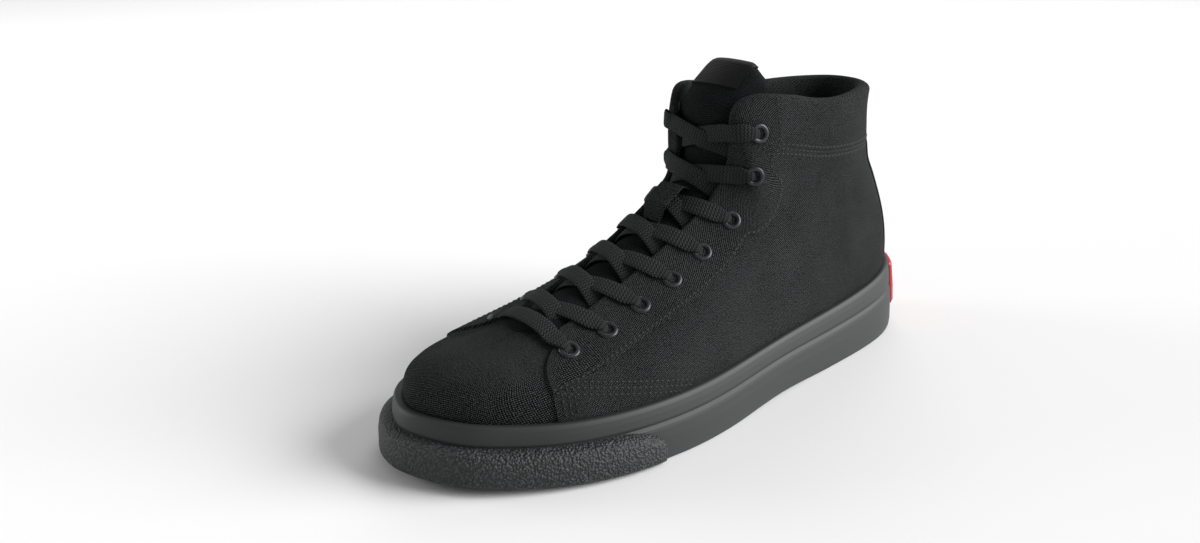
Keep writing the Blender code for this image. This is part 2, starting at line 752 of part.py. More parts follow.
def build_tape(collection):
    """Heel tape between the collar seam and the rubber."""
    at = upper_ribs()
    ribs = at[at <= TAPE_AT + 1e-9][::-1]
    rows = [v for v in upper_rows() if v < COLLAR_SEAM]
    rows[0] = 0.03
    rings = []
    for rib, side in both_sides(ribs):
        inner = [skin(np.asarray(rib), v, side, GAP) for v in rows]
        outer = [skin(np.asarray(rib), v, side, GAP + TAPE_THICKNESS) for v in rows]
        rings.append(inner + outer[::-1])
    loft("heel_tape", rings, "section", "canvas_black", collection)


def build_insole(collection):
    """Footbed on the sole's core, inside the upper's wall."""
    at, _ = sole_ribs()
    side_gap = WALL + VAMP_STEP + SOFT_GAP
    rings = []
    for out, rise in ((side_gap, GAP), (side_gap, 0.7 * INSOLE_THICKNESS),
                      (side_gap + 1.5 * MM, INSOLE_THICKNESS)):
        rings.append(around(lambda ribs, side, out=out, rise=rise:
                            side_point(ribs, side, -out, 0.0, CUP_FLOOR + rise), at))
    loft("insole", rings, "plan", "foam_black", collection)


def tongue_stations():
    """Distances along the throat of the tongue's sections between its two ends."""
    top = TOP_EYELET_DROP * 0.6
    front = np.interp(BRIDGE_END, THROAT_AT, THROAT_LENGTH)
    return np.linspace(top, front, 12)


def tongue_section(distance, width):
    """Faces of the tongue at a station: points and normals over its width, from +u to -u."""
    at = rib_at(distance)
    edge, _, _, _ = throat_frame(at)
    half = np.linalg.norm(edge[1] - edge[-1]) / 2
    ends = (0.0, THROAT_LENGTH[-1] / 2, THROAT_LENGTH[-1])
    wing = np.interp(distance, ends, (TONGUE_WING_TOP, TONGUE_WING, TONGUE_WING_FRONT))
    reach = (half + wing) * width
    points = []
    normals = []
    for u in np.linspace(reach, -reach, 11):
        point, normal, thick = throat(at, u)
        sink = WING_SINK * max((abs(u) - half) / wing, 0)
        points.append(point - normal * (thick + SOFT_GAP + sink))
        normals.append(normal)
    return np.array(points), np.array(normals)


def tongue_rows():
    """Sections of the tongue from its root under the vamp to its top edge."""
    stations = tongue_stations()
    rows = []
    points, normals = tongue_section(stations[-1], 1.0)
    forward = unit(rib_point(1.0, 0.80, 1) - rib_point(1.0, 1.0, 1))
    rows.append((points + forward * TONGUE_ROOT - normals * SOFT_GAP, normals))
    for distance in stations[::-1]:
        points, normals = tongue_section(distance, 1.0)
        rows.append((points, normals))
    for row in TONGUE_TOP:
        points, normals = tongue_section(stations[0], row.width)
        rows.append((points + tongue_lean(row.rise, row.back), normals))
    return rows


def tongue_lean(rise, back):
    """Move of a section from the collar corner's station up and back into the collar."""
    return np.array([back * TONGUE_DRIFT, -back, rise]) * TONGUE_RISE


def build_tongue(collection):
    """Tongue under the eyestays, with its top above the collar."""
    rings = []
    for points, normals in tongue_rows():
        inner = points - normals * TONGUE_THICKNESS
        rings.append(np.concatenate([points, inner[::-1]]))
    loft("tongue", rings, "section", "canvas_black", collection)


def tongue_patch(name, distances, width, thickness, collection):
    """Thin piece that lies on the tongue's face over a range of stations."""
    stations = tongue_stations()
    rings = []
    for distance in distances:
        at = rib_at(max(distance, stations[0]))
        rise = max(stations[0] - distance, 0.0) / TONGUE_RISE
        back = np.interp(rise, [0.0] + [row.rise for row in TONGUE_TOP],
                         [0.0] + [row.back for row in TONGUE_TOP])
        low = []
        high = []
        for u in np.linspace(width / 2, -width / 2, 5):
            point, normal, thick = throat(at, u)
            base = point - normal * (thick + SOFT_GAP) + tongue_lean(rise, back)
            low.append(base + normal * TRIM_GAP)
            high.append(base + normal * (TRIM_GAP + thickness))
        rings.append(np.array(high + low[::-1]))
    loft(name, rings, "section", "label_black", collection)


def lace_path(start, end, heights):
    """Points and normals of a lace over the throat, with its height over the skin."""
    points = []
    normals = []
    for t, height in zip(np.linspace(0, 1, len(heights)), heights):
        distance = start[0] + (end[0] - start[0]) * t
        u = start[1] + (end[1] - start[1]) * t
        point, normal, _ = throat(rib_at(distance), u)
        points.append(point + normal * height)
        normals.append(normal)
    return np.array(points), np.array(normals)


def lace_strip(points, normals):
    """Rings of a flat lace along a path."""
    run = unit(np.gradient(points, axis=0))
    across = unit(np.cross(normals, run)) * LACE_WIDTH / 2
    up = unit(np.cross(run, across)) * LACE_THICKNESS / 2
    return np.stack([points + across + up, points - across + up,
                     points - across - up, points + across - up], 1)


def edge_half(number):
    """Half width of the throat at an eyelet."""
    edge, _, _, _ = throat_frame(rib_at(eyelet_distance(number)))
    return np.linalg.norm(edge[1] - edge[-1]) / 2


def build_laces(collection, cutters):
    """Bottom bar and the crossings above it, each crossing joined into one solid."""
    over_edge = EYELET_SETBACK - EYELET_RADIUS - 1.2 * MM
    on_stay = LACE_THICKNESS / 2 + LACE_SEAT
    bar_end = edge_half(1) + over_edge
    place = eyelet_distance(1) + BAR_FORWARD
    points, normals = lace_path((place, bar_end), (place, -bar_end),
                                (on_stay + GAP,) * 11)
    loft("lace_bar", lace_strip(points, normals), "section", "lace_black", collection)
    for number in range(1, EYELETS):
        first = eyelet_distance(number)
        pitch = eyelet_distance(number + 1) - first
        inside = edge_half(number) - LACE_START
        outside = edge_half(number + 1) + over_edge
        reach = edge_half(number) + edge_half(number + 1) + 2 * EYELET_SETBACK
        low = first + pitch * (EYELET_SETBACK + LACE_START) / reach
        high = first + pitch * (1 - (EYELET_SETBACK - over_edge) / reach)
        strips = []
        ankle = ANKLE_RISE * (number >= ANKLE_CROSSING)
        for side, middle in ((1, 1.9 * MM + ankle), (-1, 0.7 * MM + ankle)):
            heights = (-0.9 * MM, -0.1 * MM, middle / 2, middle, middle,
                       (middle + on_stay) / 2 + ankle, on_stay + ankle, on_stay + ankle,
                       on_stay + ankle / 2, on_stay, on_stay)
            path = lace_path((low, side * inside), (high, -side * outside), heights)
            strips.append(lace_strip(*path))
        cross = loft(f"lace_cross_{number}", strips[0], "section", "lace_black", collection)
        under = loft(f"lace_under_{number}", strips[1], "section", "lace_black", cutters)
        under.hide_render = True
        under.display_type = "WIRE"
        cut(cross, under, "UNION")


def main():
    """Clear the scene and build the shoe."""
    for thing in list(bpy.data.objects):
        bpy.data.objects.remove(thing, do_unlink=True)
    shoe = bpy.data.collections.new("high_top_sneaker")
    cutters = bpy.data.collections.new("cutters")
    bpy.context.scene.collection.children.link(shoe)
    bpy.context.scene.collection.children.link(cutters)
    build_outsole(shoe, cutters)
    build_foxing(shoe)
    build_bumper(shoe)
    build_patch(shoe)
    build_insole(shoe)
    build_upper(shoe, cutters)
    build_tape(shoe)
    build_tongue(shoe)
    stations = tongue_stations()
    label = stations[0] - TONGUE_RISE * np.linspace(0.40, 0.86, 4)
    tongue_patch("tongue_label", label, LABEL_WIDTH, LABEL_THICKNESS, shoe)
    keeper_end = eyelet_distance(KEEPER_FRONT)
    keeper = np.linspace(keeper_end - KEEPER_LENGTH, keeper_end, 4)
    tongue_patch("lace_keeper", keeper, KEEPER_WIDTH, KEEPER_THICKNESS, shoe)
    build_eyelets(shoe)
    build_laces(shoe, cutters)


main()
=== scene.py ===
"""High top sneaker, a left shoe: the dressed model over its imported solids.

Metres, +Z up; the toe points toward -Y and the outer side toward +X, as in the solids.
Every piece takes its place from the last's surface, which the class Last holds.
"""

import logging
import math
from dataclasses import dataclass, field
from enum import Enum
from typing import Callable, Sequence

import bmesh
import bpy
import numpy as np
from mathutils import Matrix, Vector


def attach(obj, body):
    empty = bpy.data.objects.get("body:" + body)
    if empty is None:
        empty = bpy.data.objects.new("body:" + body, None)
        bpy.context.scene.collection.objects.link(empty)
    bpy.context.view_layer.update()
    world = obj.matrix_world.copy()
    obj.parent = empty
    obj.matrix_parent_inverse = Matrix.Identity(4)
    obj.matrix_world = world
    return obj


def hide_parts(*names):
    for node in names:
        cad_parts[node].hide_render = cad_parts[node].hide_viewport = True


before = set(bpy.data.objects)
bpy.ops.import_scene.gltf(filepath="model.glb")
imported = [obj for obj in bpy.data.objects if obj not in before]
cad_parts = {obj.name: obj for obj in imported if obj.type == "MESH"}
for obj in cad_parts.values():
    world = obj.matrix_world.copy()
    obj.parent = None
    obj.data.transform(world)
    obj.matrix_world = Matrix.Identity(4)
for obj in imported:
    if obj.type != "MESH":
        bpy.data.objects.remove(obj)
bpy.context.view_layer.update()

Array = np.ndarray
Curve = Callable[[Array], Array]
Material = bpy.types.Material
Object = bpy.types.Object
Socket = bpy.types.NodeSocket
LOG = logging.getLogger("high_top_sneaker")

MM = 0.001

# Driving sizes of the shoe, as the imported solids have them
LAST_LENGTH = 288 * MM
BALL_WIDTH = 96 * MM
COLLAR_HEIGHT = 137 * MM
SIDE_HEIGHT = 28 * MM
TOE_SPRING = 4.5 * MM
HEEL_LIFT = 1.5 * MM
WAIST_LIFT = 1.0 * MM
WALL = 2.0 * MM
VAMP_STEP = 0.8 * MM
COLLAR_STEP = 0.6 * MM
COLLAR_PAD = 3.6 * MM
FRAME_MIDDLE = (-0.3 * MM, 145.4 * MM)

# Plan of the last: share of its length, middle and half width as shares of the ball's width
LAST_PLAN = (
    (0.05, 0.000, 0.222),
    (0.10, 0.000, 0.290),
    (0.18, 0.005, 0.333),
    (0.30, 0.022, 0.352),
    (0.42, 0.042, 0.370),
    (0.52, 0.050, 0.410),
    (0.62, 0.040, 0.460),
    (0.70, 0.012, 0.487),
    (0.78, -0.018, 0.480),
    (0.86, -0.050, 0.430),
    (0.93, -0.078, 0.330),
    (0.97, -0.090, 0.225),
)
SIDE_TOP = ((0.00, 1.36), (0.12, 1.20), (0.35, 1.02), (0.66, 0.93), (0.88, 0.93), (1.00, 1.00))


@dataclass(frozen=True)
class Rib:
    """One rib of the upper, from the rubber's edge up to the top line, in shares."""

    at: float
    along: float
    up: float
    out: float
    back_along: float
    back_up: float
    back_out: float
    rise: float


RIBS = (
    Rib(0.00, 0.095, 0.955, 0.000, 0.028, -0.30, 0.00, 0.27),
    Rib(0.10, 0.119, 0.953, 0.180, 0.024, -0.29, -0.01, 0.29),
    Rib(0.20, 0.210, 0.950, 0.305, 0.000, -0.27, 0.00, 0.33),
    Rib(0.29, 0.330, 0.965, 0.320, -0.015, -0.25, 0.03, 0.34),
    Rib(0.35, 0.428, 1.005, 0.262, -0.010, -0.25, 0.09, 0.34),
    Rib(0.38, 0.460, 0.985, 0.215, -0.010, -0.24, 0.13, 0.33),
    Rib(0.46, 0.463, 0.800, 0.177, -0.015, -0.17, 0.17, 0.28),
    Rib(0.56, 0.552, 0.605, 0.170, 0.000, -0.13, 0.17, 0.22),
    Rib(0.68, 0.712, 0.450, 0.160, 0.020, -0.10, 0.17, 0.16),
    Rib(0.80, 0.808, 0.390, 0.148, 0.050, -0.085, 0.15, 0.14),
    Rib(0.90, 0.836, 0.388, 0.080, 0.080, -0.055, 0.07, 0.14),
    Rib(1.00, 0.841, 0.387, 0.000, 0.090, -0.040, 0.00, 0.14),
)


def spline(knots: Sequence[float], values: Sequence[float], flat: bool) -> Curve:
    """Cubic curve through knots.

    Args:
        knots: rising places of the knots.
        values: the value at each knot.
        flat: level at both ends, else free there.

    Returns:
        A function of an array of places.
    """
    x = np.asarray(knots, float)
    y = np.asarray(values, float)
    h = np.diff(x)
    lhs = np.zeros((len(x), len(x)))
    rhs = np.zeros(len(x))
    for i in range(1, len(x) - 1):
        lhs[i, i - 1:i + 2] = h[i - 1], 2 * (h[i - 1] + h[i]), h[i]
        rhs[i] = 6 * ((y[i + 1] - y[i]) / h[i] - (y[i] - y[i - 1]) / h[i - 1])
    lhs[0, 0] = lhs[-1, -1] = 1
    if flat:
        lhs[0, :2] = 2 * h[0], h[0]
        lhs[-1, -2:] = h[-1], 2 * h[-1]
        rhs[0] = 6 * (y[1] - y[0]) / h[0]
        rhs[-1] = -6 * (y[-1] - y[-2]) / h[-1]
    bend = np.linalg.solve(lhs, rhs)

    def at(t: Array) -> Array:
        """Values of the curve.

        Args:
            t: places.

        Returns:
            The value at each place.
        """
        t = np.clip(t, x[0], x[-1])
        k = np.clip(np.searchsorted(x, t) - 1, 0, len(x) - 2)
        d = h[k]
        a = (x[k + 1] - t) / d
        b = (t - x[k]) / d
        line = a * y[k] + b * y[k + 1]
        return line + ((a ** 3 - a) * bend[k] + (b ** 3 - b) * bend[k + 1]) * d * d / 6

    return at


def smooth(t: Array) -> Array:
    """Eased step from 0 at t = 0 to 1 at t = 1."""
    t = np.clip(t, 0.0, 1.0)
    return t * t * (3 - 2 * t)


def unit(vector: Array) -> Array:
    """Vectors along the last axis, scaled to length 1."""
    return vector / np.linalg.norm(vector, axis=-1, keepdims=True)


def matched(at: Array, v: Array) -> Sequence[Array]:
    """Ribs and height shares as arrays of one shape."""
    return np.broadcast_arrays(np.asarray(at, float), np.asarray(v, float))


def to_frame(points: Array) -> Array:
    """Points (out, along from the heel, up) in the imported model's frame."""
    points = np.asarray(points, float)
    return np.stack([points[..., 0] - FRAME_MIDDLE[0], FRAME_MIDDLE[1] - points[..., 1],
                     points[..., 2]], -1)


class Last:
    """The last's surface: ribs numbered 0 at the heel to 1 at the toe, height share v.

    Every piece takes its place from it. Points are (out, along from the heel, up), and
    side is 1 for the outer side of the shoe and -1 for the inner side.
    """

    corner_at = 0.375
    collar_end = 0.335
    collar_seam = 0.76
    map_height = 0.45
    quarter_end = 0.785
    quarter_edge = ((0.757, 0.00), (0.765, 0.23), (0.773, 0.36), (0.785, 0.515), (0.794, 0.655),
                    (0.798, 0.755), (0.797, 0.82), (0.792, 0.90), (0.785, 1.00))
    throat_shift = 0.010
    throat_blend = 0.05
    throat_arch = 0.76
    throat_thinning = 0.45
    walk_steps = 5
    nudge = 1e-4

    def __init__(self) -> None:
        """Make the curves of the tables."""
        rows = np.array(LAST_PLAN)
        along = np.concatenate([[0.0], rows[:, 0], [1.0]])
        at = np.arccos(1 - 2 * along) / math.pi
        roundness = rows[:, 2] / (2 * np.sqrt(rows[:, 0] * (1 - rows[:, 0])))
        self._middle = spline(at, [0.0, *rows[:, 1], -0.100], True)
        self._roundness = spline(at, [0.48, *roundness, 0.52], True)
        self._side_top = spline([a for a, _ in SIDE_TOP], [h for _, h in SIDE_TOP], False)
        places = [rib.at for rib in RIBS]
        level = ("along", "up", "back_along", "back_up", "rise")
        self._rib = {name: spline(places, [getattr(rib, name) for rib in RIBS], name in level)
                     for name in level + ("out", "back_out")}
        at = np.linspace(self.corner_at, 1, 400)
        steps = np.linalg.norm(np.diff(self.point(at, 1.0, 1), axis=0), axis=1)
        self.throat_at = at
        self.throat_length = np.concatenate([[0.0], np.cumsum(steps)])

    @staticmethod
    def share(at: Array) -> Array:
        """Share of the last's length under a rib's foot."""
        return (1 - np.cos(np.pi * at)) / 2

    @staticmethod
    def lift(along: Array) -> Array:
        """Rise of the sole's underside at a share of the length.

        Args:
            along: shares of the length.

        Returns:
            The rise.
        """
        toe = np.clip((along - 0.76) / 0.28, 0, None) ** 2
        heel = np.clip((0.06 - along) / 0.08, 0, None) ** 2
        waist = np.clip(1 - ((along - 0.43) / 0.14) ** 2, 0, None) ** 2
        return TOE_SPRING * toe + HEEL_LIFT * heel + WAIST_LIFT * waist

    def side_top(self, along: Array) -> Array:
        """Height of the rubber side's top edge at a share of the length."""
        return self._side_top(along) * SIDE_HEIGHT

    def plan(self, at: Array, side: int, out: Array = 0.0) -> Array:
        """Plan of the last (out, along), moved out by a distance.

        Args:
            at: ribs.
            side: 1 outer, -1 inner.
            out: distance out from the last.

        Returns:
            Points of the plan.
        """
        def ring(t: Array) -> Array:
            """Points of the plan at ribs t."""
            x = self._middle(t) + side * self._roundness(t) * np.sin(np.pi * t)
            return np.stack([x * BALL_WIDTH, self.share(t) * LAST_LENGTH], -1)

        tangent = unit(ring(at + self.nudge) - ring(at - self.nudge))
        normal = np.stack([tangent[..., 1], -tangent[..., 0]], -1) * side
        return ring(at) + normal * np.expand_dims(out, -1)

    def side_point(self, at: Array, side: int, out: Array, height: Array) -> Array:
        """Point of the sole's side, at a distance out and a share of the side's height.

        Args:
            at: ribs.
            side: 1 outer, -1 inner.
            out: distance out from the last.
            height: share of the way from the underside to the rubber's top edge.

        Returns:
            Points.
        """
        along = self.share(at)
        foot = self.lift(along)
        z = foot + height * (self.side_top(along) - foot)
        return np.concatenate([self.plan(at, side, out), (z + at * 0)[..., None]], -1)

    def sheet(self, at: Array, out: float, count: int) -> Array:
        """Sheet over the sole's underside, from the outer side across to the inner one.

        Args:
            at: ribs.
            out: distance out from the last.
            count: points across.

        Returns:
            Points, one row for each place across.
        """
        outer, inner = (self.side_point(at, side, out, 0.0) for side in (1, -1))
        return outer + (inner - outer) * np.linspace(0, 1, count)[:, None, None]

    def point(self, at: Array, v: Array, side: int) -> Array:
        """Point of the upper's skin, from the rubber's edge (v 0) to the top line (v 1).

        Args:
            at: ribs.
            v: height shares.
            side: 1 outer, -1 inner.

        Returns:
            Points.
        """
        at, v = matched(at, v)
        rib = {name: curve(at) for name, curve in self._rib.items()}
        middle = self.throat_shift * smooth((at - self.corner_at) / (1 - self.corner_at))
        top = np.stack([(middle + side * rib["out"]) * BALL_WIDTH, rib["along"] * LAST_LENGTH,
                        rib["up"] * COLLAR_HEIGHT], -1)
        handle = np.stack([side * rib["back_out"] * BALL_WIDTH, rib["back_along"] * LAST_LENGTH,
                           rib["back_up"] * COLLAR_HEIGHT], -1)
        foot = np.concatenate([self.plan(at, side), self.side_top(self.share(at))[..., None]], -1)
        rise = foot + np.stack([at * 0, at * 0, rib["rise"] * COLLAR_HEIGHT], -1)
        w = v[..., None]
        return ((1 - w) ** 3 * foot + 3 * w * (1 - w) ** 2 * rise
                + 3 * w * w * (1 - w) * (top + handle) + w ** 3 * top)

    def slopes(self, at: Array, v: Array, side: int) -> tuple[Array, Array]:
        """Slopes of the skin toward the toe and toward the top line.

        Args:
            at: ribs.
            v: height shares.
            side: 1 outer, -1 inner.

        Returns:
            Both slopes, per rib and per height share.
        """
        low = np.clip(at - self.nudge, 0, 1)
        high = np.clip(at + self.nudge, 0, 1)
        toe = (self.point(high, v, side) - self.point(low, v, side)) / (high - low)[..., None]
        top = self.point(at, v + self.nudge, side) - self.point(at, v - self.nudge, side)
        return toe, top / (2 * self.nudge)

    def normal(self, at: Array, v: Array, side: int) -> Array:
        """Outward normal of the skin; on the centre line the two sides' mean.

        Args:
            at: ribs.
            v: height shares.
            side: 1 outer, -1 inner.

        Returns:
            Normals.
        """
        at, v = matched(at, v)

        def one(of_side: int) -> Array:
            """Normal of one side's skin."""
            toe, top = self.slopes(at, v, of_side)
            return unit(np.cross(toe, top) * of_side)

        normal = one(side)
        middle = ((at < 1e-6) | (at > 1 - 1e-6))[..., None]
        return unit(np.where(middle, normal + one(-side), normal))

    def front_edge(self, v: Array) -> Array:
        """Rib of the quarter's front edge over the vamp, at a height share."""
        at, height = np.array(self.quarter_edge).T
        return np.interp(v, height, at)

    def relief(self, at: Array, v: Array) -> Array:
        """How far the panels stand over the basic skin; the vamp lies lower.

        Args:
            at: ribs.
            v: height shares.

        Returns:
            Distances out.
        """
        vamp = -VAMP_STEP * smooth((at - self.front_edge(v)) / 0.0016)
        collar = COLLAR_STEP * smooth((v - self.collar_seam) / 0.008 + 0.5)
        return vamp + collar * smooth((self.collar_end + 0.01 - at) / 0.02)

    def wall(self, at: Array, v: Array) -> Array:
        """Thickness of the upper, with the collar's padding.

        Args:
            at: ribs.
            v: height shares.

        Returns:
            Thicknesses.
        """
        padded = smooth((v - self.collar_seam + 0.06) / 0.12) * smooth((self.collar_end - at) / 0.05)
        quarter = VAMP_STEP * (at <= self.front_edge(v))
        return WALL + quarter + (COLLAR_PAD + COLLAR_STEP) * padded

    def skin(self, at: Array, v: Array, side: int, out: Array = 0.0) -> Array:
        """Outer face of the upper, moved out along its normal.

        Args:
            at: ribs.
            v: height shares.
            side: 1 outer, -1 inner.
            out: distance out.

        Returns:
            Points.
        """
        at, v = matched(at, v)
        away = self.relief(at, v) + out
        return self.point(at, v, side) + self.normal(at, v, side) * np.expand_dims(away, -1)

    def rib_at(self, distance: Array) -> Array:
        """Rib at a distance along the throat's edge from the collar corner."""
        return np.interp(distance, self.throat_length, self.throat_at)

    def walk(self, at: Array, side: int, direction: Array, distance: Array) -> tuple[Array, Array]:
        """Ribs and heights reached by walking over the skin from the throat's edge.

        Args:
            at: rib of the start, on the top line.
            side: 1 outer, -1 inner.
            direction: heading at the start.
            distance: length of each walk.

        Returns:
            Rib and height share of each walk's end.
        """
        distance = np.asarray(distance, float)
        at = np.full(distance.shape, float(at))
        v = np.ones(distance.shape)
        for _ in range(self.walk_steps):
            toe, top = self.slopes(at, v, side)
            normal = unit(np.cross(toe, top))
            heading = unit(direction - normal * np.sum(direction * normal, -1, keepdims=True))
            ahead, higher = self.change(toe, top, heading * distance[..., None] / self.walk_steps)
            at = np.clip(at + ahead, 0.0, 1.0)
            v = v + higher
        return at, v

    @staticmethod
    def change(toe: Array, top: Array, move: Array) -> tuple[Array, Array]:
        """Change of rib and height share that moves over the skin make.

        Args:
            toe: slope of the skin toward the toe.
            top: slope toward the top line.
            move: the moves.

        Returns:
            Changes of the rib and of the height share.
        """
        a, b, c = (np.sum(p * q, -1) for p, q in ((toe, toe), (toe, top), (top, top)))
        e, f = np.sum(move * toe, -1), np.sum(move * top, -1)
        bottom = a * c - b * b
        return (c * e - b * f) / bottom, (a * f - b * e) / bottom

    def edges(self, at: float) -> tuple[dict[int, Array], dict[int, Array], dict[int, Array], Array]:
        """Edge points, normals and across directions of the throat at a rib, and its run.

        Args:
            at: the rib.

        Returns:
            Each side's edge point, normal and way across, and the run.
        """
        edge: dict[int, Array] = {}
        normal: dict[int, Array] = {}
        run = 0.0
        near = np.clip(at + np.linspace(-self.throat_blend, self.throat_blend, 7),
                       self.corner_at - 0.03, 1)
        for side in (1, -1):
            edge[side] = self.point(at, 1.0, side)
            normal[side] = unit(self.normal(near, 1.0, side).mean(0))
            run = run + unit(self.slopes(near, 1.0, side)[0]).mean(0)
        run = unit(run)
        across = {}
        for side in (1, -1):
            direction = np.cross(normal[side], run) * side
            across[side] = unit(direction - run * np.dot(direction, run))
        return edge, normal, across, run

    def half_width(self, at: float) -> float:
        """Half the width of the throat at a rib."""
        return float(np.linalg.norm(self.point(at, 1.0, 1) - self.point(at, 1.0, -1)) / 2)

    def throat(self, at: float, u: Array) -> tuple[Array, Array, Array]:
        """The section across the throat at a rib, and on over the eyestays.

        Args:
            at: rib.
            u: distances from the throat's middle, + toward the outer side.

        Returns:
            Points, normals and the wall's thickness.
        """
        u = np.atleast_1d(np.asarray(u, float))
        edge, normal, across, _ = self.edges(at)
        half = np.linalg.norm(edge[1] - edge[-1]) / 2
        g = np.clip(0.5 - u / (2 * half), 0, 1)[:, None]
        a, d = edge[1], edge[-1]
        b = a + across[1] * self.throat_arch * half
        c = d + across[-1] * self.throat_arch * half
        points = (1 - g) ** 3 * a + 3 * g * (1 - g) ** 2 * b + 3 * g * g * (1 - g) * c + g ** 3 * d
        facing = unit((1 - g) * normal[1] + g * normal[-1])
        thick = self.wall(at, 1.0) * (1 - self.throat_thinning * np.sin(np.pi * g[:, 0]))
        for side in (1, -1):
            beyond = u * side > half
            if beyond.any():
                place, v = self.walk(at, side, -across[side], u[beyond] * side - half)
                points[beyond] = self.skin(place, v, side)
                facing[beyond] = self.normal(place, v, side)
                thick[beyond] = self.wall(place, v)
        return points, facing, thick


class Side(Enum):
    """The two sides of the shoe."""

    OUTER = 1
    INNER = -1


# Finishes

MATH = "ShaderNodeMath"
NOISE = "ShaderNodeTexNoise"
CLOTH_MAP = "ShaderNodeUVMap"
OBJECT_PLACE = "ShaderNodeTexCoord"
SCALED = "MULTIPLY_ADD"


def linear(colour: str, alpha: float = 1.0) -> tuple[float, float, float, float]:
    """Linear colour of an sRGB value.

    Args:
        colour: hex value such as #202122.
        alpha: how solid it is.

    Returns:
        Red, green, blue and alpha.
    """
    parts = [int(colour[i:i + 2], 16) / 255 for i in (1, 3, 5)]
    red, green, blue = (c / 12.92 if c <= 0.04045 else ((c + 0.055) / 1.055) ** 2.4 for c in parts)
    return red, green, blue, alpha


def fill_inputs(made: bpy.types.Node, inputs: dict) -> None:
    """Set or link a node's inputs.

    Args:
        made: the node.
        inputs: value or output socket for each input, by its name or number.
    """
    for key, value in inputs.items():
        if isinstance(value, Socket):
            made.id_data.links.new(value, made.inputs[key])
        else:
            made.inputs[key].default_value = value


def add_node(tree: bpy.types.NodeTree, kind: str, inputs: dict | None = None,
             output: int | str = 0, **settings: object) -> Socket:
    """Add a node with its settings and links.

    Args:
        tree: the tree to add to.
        kind: the node's type.
        inputs: value or output socket for each input, by its name or number.
        output: name or number of the output that is wanted.
        settings: the node's own settings.

    Returns:
        The output socket.
    """
    made = tree.nodes.new(kind)
    for name, value in settings.items():
        setattr(made, name, value)
    fill_inputs(made, inputs or {})
    return made.outputs[output]


def start_material(name: str) -> tuple[Material, bpy.types.NodeTree]:
    """New material and its tree.

    Args:
        name: the material's name.

    Returns:
        The material and its tree.
    """
    made = bpy.data.materials.new(name)
    made.use_nodes = True
    return made, made.node_tree


def dress(made: Material, share: Socket, colours: tuple[str, str], inputs: dict,
          height: Socket | None = None, depth_mm: float = 0.0) -> Material:
    """Give a material's shader its colour, its other inputs and its relief.

    Args:
        made: the material.
        share: share of the second colour, held between 0 and 1.
        colours: hex values that the colour is mixed from.
        inputs: value or output socket for each other input of the shader.
        height: height of the relief, where it has one.
        depth_mm: how deep the relief is.

    Returns:
        The material.
    """
    tree = made.node_tree
    held = add_node(tree, "ShaderNodeClamp", {0: share})
    low, high = (linear(colour) for colour in colours)
    mixed = add_node(tree, "ShaderNodeMix", {"Factor": held, 6: low, 7: high}, 2, data_type="RGBA")
    inputs = {"Base Color": mixed, **inputs}
    if height is not None:
        inputs["Normal"] = add_node(tree, "ShaderNodeBump", {"Height": height, "Strength": 1.0,
                                                             "Distance": depth_mm * MM})
    fill_inputs(tree.nodes["Principled BSDF"], inputs)
    return made


def waves(tree: bpy.types.NodeTree, place: Socket, along: float, across: float) -> Socket:
    """Ripple from -1 to 1 over a map in millimetres.

    Args:
        tree: the material's tree.
        place: place on the map.
        along: turns per millimetre along the map.
        across: turns per millimetre across it.

    Returns:
        The ripple.
    """
    turned = add_node(tree, "ShaderNodeVectorMath",
                      {0: place, 1: (2 * math.pi * along, 2 * math.pi * across, 0)}, "Value",
                      operation="DOT_PRODUCT")
    return add_node(tree, MATH, {0: turned}, operation="SINE")


@dataclass(frozen=True)
class Canvas:
    """Cotton twill: dull, with fine slanting lines and a speckle of thread ends.

    The real twill's lines stand 0.5 mm apart. They are drawn 0.9 mm apart or more, the
    finest that shows in the picture.
    """

    name: str
    colour: str = "#010202"
    light: str = "#494c4c"
    line_mm: float = 0.9
    lean: float = 0.55
    depth_mm: float = 0.12
    roughness: float = 0.88
    specular: float = 0.06

    def make(self) -> Material:
        """Material of the cloth, on the piece's map in millimetres.

        Returns:
            The material.
        """
        made, tree = start_material(self.name)
        place = add_node(tree, CLOTH_MAP, uv_map="cloth")
        turns = 1 / self.line_mm
        lines = waves(tree, place, turns * self.lean, turns)
        picks = waves(tree, place, turns * 1.35, -turns * 0.35)
        speck = add_node(tree, NOISE, {"Vector": place, "Scale": 2.0 / self.line_mm, "Detail": 1.0,
                                       "Roughness": 0.75})
        shade = add_node(tree, NOISE, {"Vector": place, "Scale": 0.035, "Detail": 3.0})
        weave = add_node(tree, MATH, {0: lines, 1: 0.52, 2: 0.5}, operation=SCALED)
        weave = add_node(tree, MATH, {0: picks, 1: 0.42, 2: weave}, operation=SCALED)
        grain = add_node(tree, MATH, {0: speck, 1: 5.0, 2: -2.5}, operation=SCALED)
        height = add_node(tree, MATH, {0: grain, 1: 0.20, 2: weave}, operation=SCALED)
        tone = add_node(tree, MATH, {0: grain, 1: 0.7, 2: weave}, operation=SCALED)
        tone = add_node(tree, MATH, {0: tone, 1: 0.42}, operation="SUBTRACT")
        worn = add_node(tree, MATH, {0: shade, 1: 0.9, 2: -0.45}, operation=SCALED)
        tone = add_node(tree, MATH, {0: worn, 1: 0.55, 2: tone}, operation=SCALED)
        return dress(made, tone, (self.colour, self.light),
                     {"Roughness": self.roughness, "Specular IOR Level": self.specular},
                     height, self.depth_mm)


